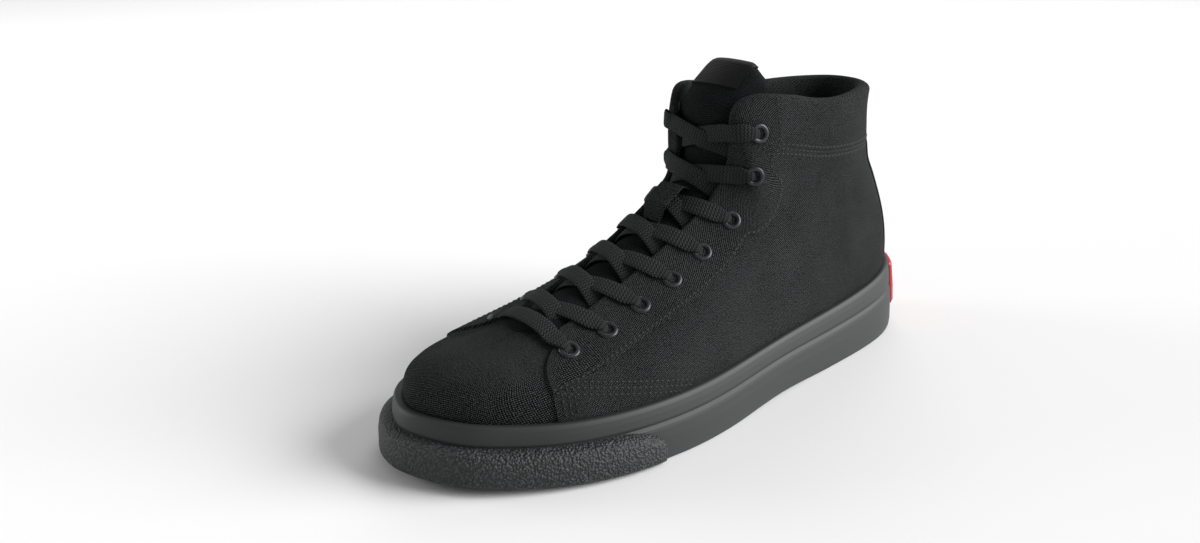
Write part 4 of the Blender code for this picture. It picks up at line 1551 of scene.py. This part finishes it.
@dataclass
class Eyelets:
    """Sixteen turned rings, each bore closed by a dark disc of painted shade."""

    throat: Throat
    radius: float = 4.5 * MM
    bore: float = 2.3 * MM
    seat: float = 0.55 * MM
    segments: int = 36

    def profile(self) -> Array:
        """Radius and height of the ring's section, from the bore over the crown to the rim.

        Returns:
            Rows of radius and height.
        """
        turns = np.linspace(math.pi * 0.93, -0.12 * math.pi, 14)
        middle = (self.radius + self.bore) / 2
        half = (self.radius - self.bore) / 2
        crown = np.stack([middle + half * np.cos(turns), self.seat + 1.05 * MM * np.sin(turns)], 1)
        barrel = np.array([[self.bore * 0.98, self.seat - 0.75 * MM]])
        return np.concatenate([barrel, crown])

    def build(self, looks: Finishes, number: int, side: int) -> Object:
        """Build one eyelet.

        Args:
            looks: the shoe's materials.
            number: 1 is the foremost.
            side: 1 outer, -1 inner.

        Returns:
            The object.
        """
        centre, normal = self.throat.centre(number, side)
        z = unit(normal)
        x = unit(np.cross(z, [0.0, 0.3, 1.0]))
        y = np.cross(z, x)
        profile = self.profile()
        turn = np.linspace(0, 2 * math.pi, self.segments + 1)
        turn[-1] = 0
        spoke = x * np.cos(turn)[:, None] + y * np.sin(turn)[:, None]
        points = centre + profile[:, None, :1] * spoke + profile[:, None, 1:] * z
        cloth = np.stack(np.meshgrid(np.linspace(0, 28, self.segments + 1),
                                     np.arange(len(profile)) * 0.5), -1)
        word = "lateral" if side == 1 else "medial"
        work = Patchwork(f"eyelet_ring_{word}_{number}")
        work.grid(points, cloth)
        # dark disc across the bore: painted shade where the hole runs through
        work.fan(points[0], cloth[0], 1)
        return work.finish((looks.eyelet, looks.hole), "eyelet", f"eyelet_{word}_{number}",
                           smooth_angle=60)


@dataclass
class Laces:
    """The lace: its bottom bar and the two strands of every crossing."""

    throat: Throat
    width: float = 8 * MM
    thickness: float = 1.35 * MM
    bunched: float = 0.56
    stations: int = 44
    past_eyelet: float = 0.5 * MM
    narrow_near: float = 2 * MM
    narrow_over: float = 6 * MM
    tuck_reach: float = 2.6 * MM
    tuck_depth: float = 4 * MM
    bar_high: float = 2.0 * MM
    bar_middle: float = 0.9 * MM
    stay: float = 1.8 * MM
    ankle: float = 0.4 * MM
    ankle_from: int = 6
    middles: tuple[tuple[int, float], ...] = ((1, 0.8 * MM), (-1, -0.9 * MM))

    def strand(self, work: Patchwork, start: tuple[float, float], end: tuple[float, float],
               heights: Sequence[tuple[float, float]], pinch: tuple[bool, bool],
               start_run: float) -> None:
        """Add one strand over the throat.

        Args:
            work: the lace's mesh.
            start: distance along the throat and across it, at the strand's start.
            end: the same at its end.
            heights: (share of the way, height over the skin) pairs.
            pinch: whether each end narrows and dives into an eyelet.
            start_run: length of lace already run, for the braid's map.
        """
        last = self.throat.last
        t = np.linspace(0, 1, self.stations)
        t = 0.5 - 0.5 * np.cos(np.pi * t) * (0.6 + 0.4 * np.cos(np.pi * t) ** 2)
        share, height = np.array(heights).T
        rise = np.interp(t, share, height)
        kernel = np.array([1, 3, 5, 3, 1]) / 13
        padded = np.concatenate([rise[:1].repeat(2), rise, rise[-1:].repeat(2)])
        rise = np.convolve(padded, kernel, "valid")
        points, normals = [], []
        for share_now, up in zip(t, rise):
            place = start[0] + (end[0] - start[0]) * share_now
            across = start[1] + (end[1] - start[1]) * share_now
            point, normal, _ = last.throat(float(last.rib_at(place)), across)
            points.append(point[0] + normal[0] * up)
            normals.append(normal[0])
        points, normals = np.array(points), np.array(normals)
        length = lengths(points, 0) * MM
        near = np.ones(len(t))
        tuck = np.zeros(len(t))
        for flag, gap in ((pinch[0], length), (pinch[1], length[-1] - length)):
            if flag:
                open_share = smooth((gap - self.narrow_near) / self.narrow_over)
                near = np.minimum(near, self.bunched + open_share * (1 - self.bunched))
                tuck = np.maximum(tuck, 1 - np.clip(gap / self.tuck_reach, 0, 1))
        points = points - normals * (tuck ** 1.3 * self.tuck_depth)[:, None]
        run = unit(np.gradient(points, axis=0))
        across = unit(np.cross(normals, run))
        up = unit(np.cross(run, across))
        wide = self.width / 2 * near
        thick = self.thickness / 2 * (1 + (1 - near) * 1.1)
        turn = np.linspace(0, 2 * math.pi, 25)
        turn[-1] = 0
        flat = np.sign(np.cos(turn)) * np.abs(np.cos(turn)) ** 0.55
        puff = np.sign(np.sin(turn)) * np.abs(np.sin(turn)) ** 0.8
        cup = (1 - near)[:, None] * 0.55 * (np.cos(turn) ** 2)[None, :] * self.thickness
        rings = (points[:, None] + across[:, None] * (wide[:, None] * flat)[..., None]
                 + up[:, None] * (thick[:, None] * puff - cup)[..., None])
        around = np.cumsum(np.abs(np.diff(flat, prepend=flat[0]))) * self.width / MM / 2
        cloth = np.stack(np.broadcast_arrays((length / MM)[:, None] + start_run,
                                             around[None, :]), -1)
        work.grid(rings, cloth)
        work.fan(rings[0], cloth[0])
        work.fan(rings[-1], cloth[-1])

    def build_bar(self, looks: Finishes) -> Object:
        """Build the bottom bar over the foremost eyelets.

        Args:
            looks: the shoe's materials.

        Returns:
            The object.
        """
        throat = self.throat
        work = Patchwork("lace_strand_bar")
        half = throat.half(1) + throat.setback + self.past_eyelet
        place = throat.distance(1) + 0.3 * MM
        high = self.bar_high
        self.strand(work, (place, half), (place, -half),
                    ((0, high), (0.22, high), (0.5, self.bar_middle), (0.78, high), (1, high)),
                    (True, True), 0.0)
        return work.finish((looks.lace,), "lace", "lace_bar", smooth_angle=70)

    def build_crossing(self, looks: Finishes, number: int) -> Object:
        """Build the two strands that run from a pair of eyelets up to the next pair.

        Args:
            looks: the shoe's materials.
            number: number of the lower pair; 1 is the foremost.

        Returns:
            The object.
        """
        throat = self.throat
        first = throat.distance(number)
        after = throat.distance(number + 1)
        low = throat.half(number) + 3.0 * MM
        high = throat.half(number + 1) + throat.setback + self.past_eyelet
        ankle = self.ankle * (number >= self.ankle_from)
        stay = self.stay
        work = Patchwork(f"lace_strands_{number}")
        for side, over in self.middles:
            middle = over + ankle
            heights = ((0, -3.4 * MM), (0.07, -3.1 * MM), (0.17, -1.7 * MM), (0.30, middle),
                       (0.50, middle), (0.63, (middle + stay) / 2), (0.74, stay + ankle),
                       (0.87, stay + ankle / 2), (1, stay))
            start = first + (after - first) * 0.36
            self.strand(work, (start, side * low), (after, -side * high), heights, (False, True),
                        40.0 * number)
        return work.finish((looks.lace,), "lace", f"lace_cross_{number}", smooth_angle=70)


# Tongue, label and keeper


@dataclass
class Tongue:
    """Padded tongue: its face, its back and the label over its top edge."""

    throat: Throat
    thickness: float = 3.2 * MM
    clear: float = 1.1 * MM
    rise: float = 19 * MM
    drift: float = 0.2
    root: float = 17 * MM
    sink: float = 0.9 * MM
    corner_drop: float = 9 * MM
    columns: int = 61
    rows: int = 130
    wings: tuple[float, float, float] = (8 * MM, 13 * MM, 8 * MM)
    top: tuple[tuple[float, float, float], ...] = (
        (0.30, 0.16, 0.93), (0.60, 0.42, 0.88), (0.86, 0.68, 0.84), (1.00, 0.84, 0.72))

    def section(self, distance: float, width: float) -> tuple[Array, Array]:
        """Face of the tongue at a station: points and normals from +u to -u.

        Args:
            distance: distance along the throat's edge.
            width: share of the full width.

        Returns:
            Points and normals.
        """
        last = self.throat.last
        at = float(last.rib_at(distance))
        half = last.half_width(at)
        ends = (0.0, last.throat_length[-1] / 2, last.throat_length[-1])
        wing = float(np.interp(distance, ends, self.wings))
        u = np.linspace(1, -1, self.columns) * (half + wing) * width
        points, normals, thick = last.throat(at, u)
        sink = self.sink * np.clip((np.abs(u) - half) / wing, 0, None)
        return points - normals * (thick + self.clear + sink)[:, None], normals

    def lean(self, rise: float, back: float) -> Array:
        """Move of a section from the collar corner up and back into the collar."""
        return np.array([back * self.drift, -back, rise]) * self.rise

    def face(self) -> tuple[Array, Array]:
        """Face and normals of the whole tongue, from its root to its top edge.

        Returns:
            Points and normals, row by row.
        """
        last = self.throat.last
        first = self.throat.top_drop * 0.6
        front = float(np.interp(0.77, last.throat_at, last.throat_length))
        stations = np.linspace(first, front, 12)
        points, normals = self.section(stations[-1], 1.0)
        forward = unit(last.point(1.0, 0.80, 1) - last.point(1.0, 1.0, 1))
        rows = [(points + forward * self.root * share + normals * (2.2 - 3.6 * share ** 2) * MM,
                 normals) for share in (1.0, 0.75, 0.45)]
        for distance in stations[::-1]:
            points, normals = self.section(distance, 1.0)
            fill = 2.1 * MM * smooth(1 - (front - distance) / (25 * MM))
            rows.append((points + normals * fill, normals))
        for rise, back, width in self.top:
            points, normals = self.section(first, width)
            u = np.abs(np.linspace(1, -1, self.columns))
            drop = (smooth((u - 0.60) / 0.40) * rise * self.corner_drop)[:, None]
            points = points + self.lean(rise, back) - drop * np.array([0.0, 0.45, 1.0])
            rows.append((points, normals))
        place = np.array([p for p, _ in rows])
        facing = np.array([n for _, n in rows])
        middle = place[:, self.columns // 2]
        along = np.concatenate([[0], np.cumsum(np.linalg.norm(np.diff(middle, axis=0), axis=1))])
        share = np.linspace(0, 1, self.rows)
        fine = along[-1] * np.sin(share * math.pi / 2) ** 0.85
        index = np.clip(np.searchsorted(along, fine) - 1, 0, len(along) - 2)
        spread = (fine - along[index]) / (along[index + 1] - along[index])
        return self.blend(place, index, spread), unit(self.blend(facing, index, spread))

    @staticmethod
    def blend(rows: Array, index: Array, t: Array) -> Array:
        """Smooth curve through rows of points.

        Args:
            rows: the rows.
            index: the row before each wanted one.
            t: share of the way to the next row.

        Returns:
            The wanted rows.
        """
        before = rows[np.maximum(index - 1, 0)]
        first, second = rows[index], rows[index + 1]
        after = rows[np.minimum(index + 2, len(rows) - 1)]
        t = t[:, None, None]
        return 0.5 * (2 * first + (second - before) * t
                      + (2 * before - 5 * first + 4 * second - after) * t ** 2
                      + (3 * first - before - 3 * second + after) * t ** 3)

    def layers(self) -> tuple[Array, Array]:
        """Front and back face, meeting in a round edge at the sides and the top.

        Returns:
            Points of both faces.
        """
        face, normals = self.face()
        length = lengths(face, 0)[:, self.columns // 2] * MM
        width = lengths(face, 1) * MM
        from_side = np.minimum(width, width[:, -1:] - width)
        from_top = (length[-1] - length)[:, None]
        near = np.clip(np.minimum(from_side, from_top) / (1.9 * MM), 0, 1)
        fullness = np.sqrt(1 - (1 - near) ** 2)
        pad = 0.5 * self.thickness
        middle = face - normals * self.thickness / 2
        puff = normals * (pad * fullness)[..., None]
        return middle + puff, middle - puff

    def build(self, looks: Finishes) -> Object:
        """Build the tongue.

        Args:
            looks: the shoe's materials.

        Returns:
            The object.
        """
        front, back = self.layers()
        work = Patchwork("tongue_pad")
        cloth = measured(front)
        # the tongue's face takes the darker copy of the canvas: painted shade
        work.grid(front, cloth)
        work.grid(back, cloth, 1)
        work.grid(np.stack([front[0], back[0]]), cloth[:2], 1)
        made = work.finish((looks.tongue, looks.lining), "canvas", "tongue", smooth_angle=75)
        return made

    def build_label(self, looks: Finishes, width: float = 31 * MM, reach: float = 16 * MM,
                    thickness: float = 0.75 * MM, shift: float = 2 * MM) -> Object:
        """Build the plain label folded over the tongue's top edge.

        Args:
            looks: the shoe's materials.
            width: width of the label.
            reach: how far it comes down.
            thickness: its thickness.
            shift: how far it sits from the tongue's middle, toward the inner side.

        Returns:
            The object.
        """
        front, back = self.layers()
        middle = self.columns // 2
        length = lengths(front, 0)[:, middle] * MM
        near = length > length[-1] - reach
        path = np.concatenate([front[near], back[near][-2::-1]])
        u = lengths(path, 1) * MM
        u = u - u[:, middle:middle + 1]
        want = np.linspace(-width / 2, width / 2, 33) + shift
        strip = np.stack([[np.interp(want, row, line[:, k]) for k in range(3)]
                          for row, line in zip(u, path)]).transpose(0, 2, 1)
        run = unit(np.gradient(strip, axis=0))
        across = unit(np.gradient(strip, axis=1))
        out = unit(np.cross(across, run))
        inside = strip.mean((0, 1))
        if np.sum(out[0] * (strip[0] - inside)) < 0:
            out = -out
        low = strip + out * 0.12 * MM
        high = strip + out * thickness
        work = Patchwork("tongue_label_fold")
        work.slab(high, low, measured(strip))
        return work.finish((looks.label,), "label", "tongue_label")


@dataclass
class Keeper:
    """Canvas strap on the tongue that the fifth crossing passes under."""

    throat: Throat
    front: float = 4.95
    length: float = 24 * MM
    width: float = 11 * MM
    high: float = 3.9 * MM
    low: float = -1.6 * MM
    thickness: float = 1.1 * MM

    def build(self, looks: Finishes) -> Object:
        """Build the strap.

        Args:
            looks: the shoe's materials.

        Returns:
            The object.
        """
        last = self.throat.last
        end = self.throat.distance(self.front)
        t = np.linspace(0, 1, 41)
        u = np.linspace(self.width / 2, -self.width / 2, 21)
        rows = []
        for share in t:
            at = float(last.rib_at(end - self.length * share))
            points, normals, _ = last.throat(at, u)
            up = self.low + (self.high - self.low) * smooth(share / 0.30) * smooth((1.02 - share) / .16)
            rows.append((points + normals * up, normals))
        strip = np.array([p for p, _ in rows])
        facing = np.array([n for _, n in rows])
        across = lengths(strip, 1)
        round_off = np.minimum(across, across[:, -1:] - across)
        full = np.sqrt(1 - (1 - np.clip(round_off / 0.6, 0, 1)) ** 2)[..., None]
        high = strip + facing * self.thickness / 2 * full
        low = strip - facing * self.thickness / 2 * full
        work = Patchwork("lace_keeper_strap")
        work.slab(high, low, measured(strip), closed=False)
        return work.finish((looks.canvas,), "label", "lace_keeper")


# The sole

SIDE_PROFILE = ((0.00, 4.6), (0.02, 5.3), (0.05, 5.75), (0.13, 6.0), (0.40, 5.5), (0.56, 5.0),
                (0.62, 4.6), (0.642, 4.15), (0.655, 3.75), (0.672, 3.72), (0.69, 3.95),
                (0.72, 4.0), (0.84, 3.6), (0.93, 3.1), (0.97, 2.6), (0.99, 2.1), (1.00, 1.3))
BUMPER_PROFILE = ((0.02, 0.30), (0.035, 0.55), (0.08, 0.82), (0.13, 0.95), (0.40, 1.00),
                  (0.52, 0.97), (0.58, 0.88), (0.62, 0.70), (0.645, 0.45), (0.66, 0.05))


@dataclass
class Sole:
    """Rubber side, toe bumper, heel patch and outsole."""

    last: Last
    columns: int = 240
    plate: float = 0.13
    floor: float = 9 * MM
    core_out: float = -0.5 * MM
    bumper_end: float = 0.715
    bumper_thickness: float = 4.7 * MM
    groove_depth: float = 1.6 * MM
    groove_half: float = 1.3 * MM
    groove_pitch: float = 12.5 * MM
    groove_angle: float = 20.0
    tread_rim: float = 9 * MM
    tread_gap: float = 2.6 * MM
    patch_reach: float = 0.14
    patch_low: float = 0.34
    patch_top: float = 0.97
    patch_thickness: float = 1.5 * MM
    seat: float = 0.05 * MM

    @staticmethod
    def side_out(height: Array) -> Array:
        """Distance of the rubber side's face from the last."""
        share, out = np.array(SIDE_PROFILE).T
        return np.interp(height, share, out) * MM

    def ring(self, at: Array, out: float, height: float) -> Array:
        """Closed loop of side points round the shoe.

        Args:
            at: ribs of one side.
            out: distance out from the last.
            height: share of the side's height.

        Returns:
            Points from the heel round the toe and back.
        """
        outer = self.last.side_point(at, 1, out, height)
        inner = self.last.side_point(at[::-1], -1, out, height)
        return np.concatenate([outer, inner[1:]])

    def build_foxing(self, looks: Finishes) -> Object:
        """Build the rubber side with the groove under its top strip.

        Args:
            looks: the shoe's materials.

        Returns:
            The object.
        """
        at = np.linspace(0, 1, self.columns)
        heights = np.unique(np.concatenate([np.linspace(self.plate, 1, 40),
                                            [h for h, _ in SIDE_PROFILE if h > self.plate]]))
        rings = [self.ring(at, self.side_out(h), h) for h in heights]
        rings.insert(0, self.ring(at, self.core_out, self.plate))
        rings.append(self.ring(at, -0.6 * MM, 0.985))
        rings.append(rings[0])
        points = np.array(rings)
        work = Patchwork("foxing_band")
        work.grid(points, measured(points))
        return work.finish((looks.foxing,), "foxing", "foxing", smooth_angle=55)

    def groove(self, points: Array) -> Array:
        """Depth share of the tread's chevron grooves at points of the underside.

        Args:
            points: the points.

        Returns:
            0 outside the grooves, 1 in them.
        """
        share = points[..., 1] / LAST_LENGTH
        at = np.arccos(np.clip(1 - 2 * share, -1, 1)) / math.pi
        outer, inner = self.last.plan(at, 1)[..., 0], self.last.plan(at, -1)[..., 0]
        middle, half = (outer + inner) / 2, np.abs(outer - inner) / 2
        x = np.abs(points[..., 0] - middle)
        inside = smooth((half - self.tread_rim - x) / (0.8 * MM) + 0.5)
        inside = inside * smooth((x - self.tread_gap) / (0.8 * MM))
        zone = ((share > 0.085) & (share < 0.285)) | ((share > 0.555) & (share < 0.78))
        start = np.where(share < 0.4, 0.09, 0.56) * LAST_LENGTH
        phase = points[..., 1] - start + (x - half / 2) * math.tan(math.radians(self.groove_angle))
        gap = np.abs((phase / self.groove_pitch + 0.5) % 1 - 0.5) * self.groove_pitch
        line = smooth((self.groove_half - gap) / (0.5 * MM) + 0.5)
        return inside * line * zone

    def build_outsole(self, looks: Finishes) -> Object:
        """Build the outsole with its plate edge and the tread's grooves.

        Args:
            looks: the shoe's materials.

        Returns:
            The object.
        """
        at = np.linspace(0, 1, 2 * self.columns)
        rings = [self.ring(at, self.side_out(h), h)
                 for h in (0.0, 0.01, 0.02, 0.035, 0.05, 0.08, self.plate)]
        rings.append(self.ring(at, self.core_out, self.plate))
        work = Patchwork("outsole_tread")
        points = np.array(rings)
        work.grid(points, measured(points))
        under = self.last.sheet(at, self.side_out(0.0), 161)
        under[..., 2] += self.groove_depth * self.groove(under)
        work.grid(under, under[..., :2] / MM)
        over = self.last.sheet(at, self.core_out, 21)
        over[..., 2] += self.floor
        work.grid(over, over[..., :2] / MM)
        wall = np.stack([self.ring(at, self.core_out, self.plate), self.ring(at, self.core_out, 0.0)])
        wall[1, :, 2] += self.floor
        work.grid(wall, measured(wall))
        return work.finish((looks.sole,), "outsole", "outsole", smooth_angle=35)

    def build_bumper(self, looks: Finishes) -> Object:
        """Build the thick toe bumper with its rounded top edge and ends.

        Args:
            looks: the shoe's materials.

        Returns:
            The object.
        """
        start = math.acos(1 - 2 * self.bumper_end) / math.pi
        half = start + (1 - start) * np.linspace(0, 1, 110) ** 1.35
        share, thick = np.array(BUMPER_PROFILE).T
        low = share[0]
        sections = []
        for side, ribs in ((1, half), (-1, half[-2::-1])):
            from_end = smooth(np.clip((ribs - start) / 0.05, 0, 1) * 0.5 + 0.5) * 2 - 1
            squeeze = 0.52 + 0.48 * np.sqrt(np.clip(from_end, 0, 1))
            edge = 0.50 + 0.50 * np.clip(from_end, 0, 1) ** 0.5
            outer, inner = [], []
            for h, t in zip(share, thick):
                height = low + (h - low) * squeeze
                seat = self.side_out(np.maximum(height, 0.0)) + self.seat
                away = seat + self.bumper_thickness * t * edge
                inner.append(self.last.side_point(ribs, side, seat, height))
                outer.append(self.last.side_point(ribs, side, away, height))
            sections.append(np.array(outer + inner[::-1] + outer[:1]))
        points = np.concatenate(sections, 1).transpose(1, 0, 2)
        cloth = measured(points)[..., ::-1]
        work = Patchwork("toe_bumper_pebbled")
        work.grid(points, cloth)
        work.fan(points[0], cloth[0])
        work.fan(points[-1], cloth[-1])
        return work.finish((looks.bumper,), "bumper", "toe_bumper", smooth_angle=60)

    def build_patch(self, looks: Finishes) -> Object:
        """Build the plain red heel patch.

        Args:
            looks: the shoe's materials.

        Returns:
            The object.
        """
        reach, bottom, top = self.patch_reach, self.patch_low, self.patch_top
        half = np.linspace(reach, 0, 40)
        heights = np.linspace(bottom, top, 30)
        away = np.interp(heights, (bottom, 0.62, top), (5.6, 4.8, 3.1)) * MM + self.patch_thickness
        from_edge = smooth(np.minimum(heights - bottom, top - heights) / 0.035)
        seat = self.side_out(heights) + self.seat
        rim = seat + 0.35 * MM
        high, low = [], []
        for side, ribs in ((1, half), (-1, half[-2::-1])):
            for rib in ribs:
                near = from_edge * smooth((reach - rib) / 0.006)
                place = np.full_like(heights, rib)
                high.append(self.last.side_point(place, side, rim + (away - rim) * near, heights))
                low.append(self.last.side_point(place, side, seat, heights))
        high, low = np.array(high), np.array(low)
        work = Patchwork("heel_patch_red")
        work.slab(high, low, measured(high)[..., ::-1])
        return work.finish((looks.patch,), "patch", "heel_patch", smooth_angle=50)


@dataclass
class Footbed:
    """Footbed on the sole's core, under the foot."""

    last: Last
    inset: float = 3.9 * MM
    floor: float = 9.3 * MM
    thickness: float = 4.5 * MM

    def build(self, looks: Finishes) -> Object:
        """Build the footbed with a rounded edge.

        Args:
            looks: the shoe's materials.

        Returns:
            The object.
        """
        at = np.linspace(0, 1, 140)
        flat = self.last.sheet(at, -self.inset, 61)
        spread = np.linspace(0, 1, len(flat))
        width = np.linalg.norm(flat[-1] - flat[0], axis=-1)
        from_edge = np.minimum(spread, 1 - spread)[:, None] * width
        ends = np.minimum(at, 1 - at) ** 2 * math.pi ** 2 / 4 * LAST_LENGTH
        near = np.clip(np.minimum(from_edge, ends[None, :]) / (2.5 * MM), 0, 1)
        top = flat.copy()
        top[..., 2] += self.floor + self.thickness * (0.55 + 0.45 * np.sqrt(1 - (1 - near) ** 2))
        low = flat.copy()
        low[..., 2] += self.floor
        work = Patchwork("footbed_pad")
        work.slab(top, low, flat[..., :2] / MM, closed=False)
        made = work.finish((looks.lining,), "lining", "insole")
        return made


@dataclass
class HeelTape:
    """Woven tape down the heel, from the collar's seam to the rubber."""

    last: Last
    upper: Upper
    reach: float = 0.12
    thickness: float = 0.9 * MM

    def build(self, looks: Finishes) -> Object:
        """Build the tape.

        Args:
            looks: the shoe's materials.

        Returns:
            The object.
        """
        half = np.linspace(self.reach, 0, 26)
        v = np.linspace(0.01, self.last.collar_seam - 0.004, 50)
        high, low = [], []
        for side, ribs in ((1, half), (-1, half[-2::-1])):
            a, b = np.meshgrid(ribs, v, indexing="ij")
            near = smooth((self.reach - a) / 0.004) * smooth((self.last.collar_seam - b) / 0.015)
            out = self.thickness * (0.35 + 0.65 * near)
            high.append(self.upper.face(a, b, side, out))
            low.append(self.upper.face(a, b, side, 0.02 * MM))
        high, low = np.concatenate(high), np.concatenate(low)
        work = Patchwork("heel_tape_woven")
        work.slab(high, low, measured(high)[..., ::-1])
        return work.finish((looks.tape,), "tape", "heel_tape")


# The studio


class LampKind(Enum):
    """Kinds of lamp in the studio."""

    DISK = "AREA"
    SUN = "SUN"


@dataclass(frozen=True)
class Lamp:
    """One soft lamp: its kind, where it stands, its width and its strength.

    A disk's width is in metres and its strength in watts. A sun lights the whole floor
    evenly: its width is in radians and its strength in watts per square metre.
    """

    name: str
    kind: LampKind
    place: tuple[float, float, float]
    width: float
    strength: float


@dataclass
class Studio:
    """Pale floor, soft lamps and the camera at the photo's angle."""

    lamps: tuple[Lamp, ...] = (
        Lamp("key", LampKind.SUN, (3.2, 3.1, 2.2), 0.75, 5.4),
        Lamp("back", LampKind.DISK, (-1.3, 1.5, 1.8), 1.6, 14.0),
        Lamp("rim", LampKind.DISK, (-1.7, -1.3, 0.6), 1.0, 15.0),
    )
    azimuth: float = 49.737
    elevation: float = 19.431
    roll: float = -0.427
    place: tuple[float, float, float] = (0.3286, -0.3279, 0.2185)
    lens: float = 31.39
    sensor: float = 36.0
    daylight: float = 0.34
    floor_reach: float = 60.0

    def build(self) -> None:
        """Build the floor, the lamps, the daylight and the camera."""
        mesh = bpy.data.meshes.new("studio_floor")
        reach = self.floor_reach
        mesh.from_pydata([(-reach, -reach, 0), (reach, -reach, 0), (reach, reach, 0),
                          (-reach, reach, 0)], [], [(0, 1, 2, 3)])
        mesh.materials.append(Plain("floor_pale_paint", "#e3e3e3", 0.85).make())
        floor = bpy.data.objects.new("studio_floor", mesh)
        bpy.context.scene.collection.objects.link(floor)
        for lamp in self.lamps:
            self.add_lamp(lamp)
        world = bpy.data.worlds.new("studio")
        world.use_nodes = True
        background = world.node_tree.nodes["Background"]
        background.inputs["Color"].default_value = linear("#ffffff")
        background.inputs["Strength"].default_value = self.daylight
        bpy.context.scene.world = world
        bpy.context.scene.view_settings.view_transform = "Standard"
        self.add_camera()

    @staticmethod
    def add_lamp(lamp: Lamp) -> None:
        """Add one lamp that faces the shoe.

        Args:
            lamp: the lamp.
        """
        light = bpy.data.lights.new(lamp.name, lamp.kind.value)
        light.energy = lamp.strength
        if lamp.kind is LampKind.SUN:
            light.angle = lamp.width
        else:
            light.shape = "DISK"
            light.size = lamp.width
        made = bpy.data.objects.new(lamp.name, light)
        made.location = lamp.place
        aim = Vector((0, 0, 0.06)) - Vector(lamp.place)
        made.rotation_euler = aim.to_track_quat("-Z", "Y").to_euler()
        bpy.context.scene.collection.objects.link(made)

    def add_camera(self) -> None:
        """Add the camera at the angle measured from the photo."""
        a, e, r = (math.radians(v) for v in (self.azimuth, self.elevation, self.roll))
        back = Vector((math.sin(a) * math.cos(e), -math.cos(a) * math.cos(e), math.sin(e)))
        right = Vector((math.cos(a), math.sin(a), 0.0))
        up = back.cross(right)
        turned_right = right * math.cos(r) + up * math.sin(r)
        turned_up = up * math.cos(r) - right * math.sin(r)
        camera = bpy.data.cameras.new("camera")
        camera.lens = self.lens
        camera.sensor_width = self.sensor
        camera.sensor_fit = "HORIZONTAL"
        camera.clip_start = 0.01
        made = bpy.data.objects.new("camera", camera)
        turn = Matrix((turned_right, turned_up, back)).transposed().to_4x4()
        made.matrix_world = Matrix.Translation(self.place) @ turn
        bpy.context.scene.collection.objects.link(made)
        bpy.context.scene.camera = made


def main() -> None:
    """Build every piece of the shoe in order, then the studio."""
    logging.basicConfig(level=logging.INFO, format="%(message)s")
    looks = Finishes.make()
    last = Last()
    throat = Throat(last)
    sole = Sole(last)
    sole.build_outsole(looks)
    sole.build_foxing(looks)
    sole.build_bumper(looks)
    sole.build_patch(looks)
    Footbed(last).build(looks)
    upper = Upper(last)
    upper.build(looks)
    HeelTape(last, upper).build(looks)
    stays = Eyestay(last, upper)
    for side in Side:
        stays.build(looks, side.value)
    Stitching(last, upper).build(looks, stays.thickness)
    tongue = Tongue(throat)
    tongue.build(looks)
    tongue.build_label(looks)
    Keeper(throat).build(looks)
    eyelets = Eyelets(throat)
    for side in Side:
        for number in range(1, throat.count + 1):
            eyelets.build(looks, number, side.value)
    laces = Laces(throat)
    laces.build_bar(looks)
    for number in range(1, throat.count):
        laces.build_crossing(looks, number)
    Studio().build()


if __name__ == "__main__":
    main()
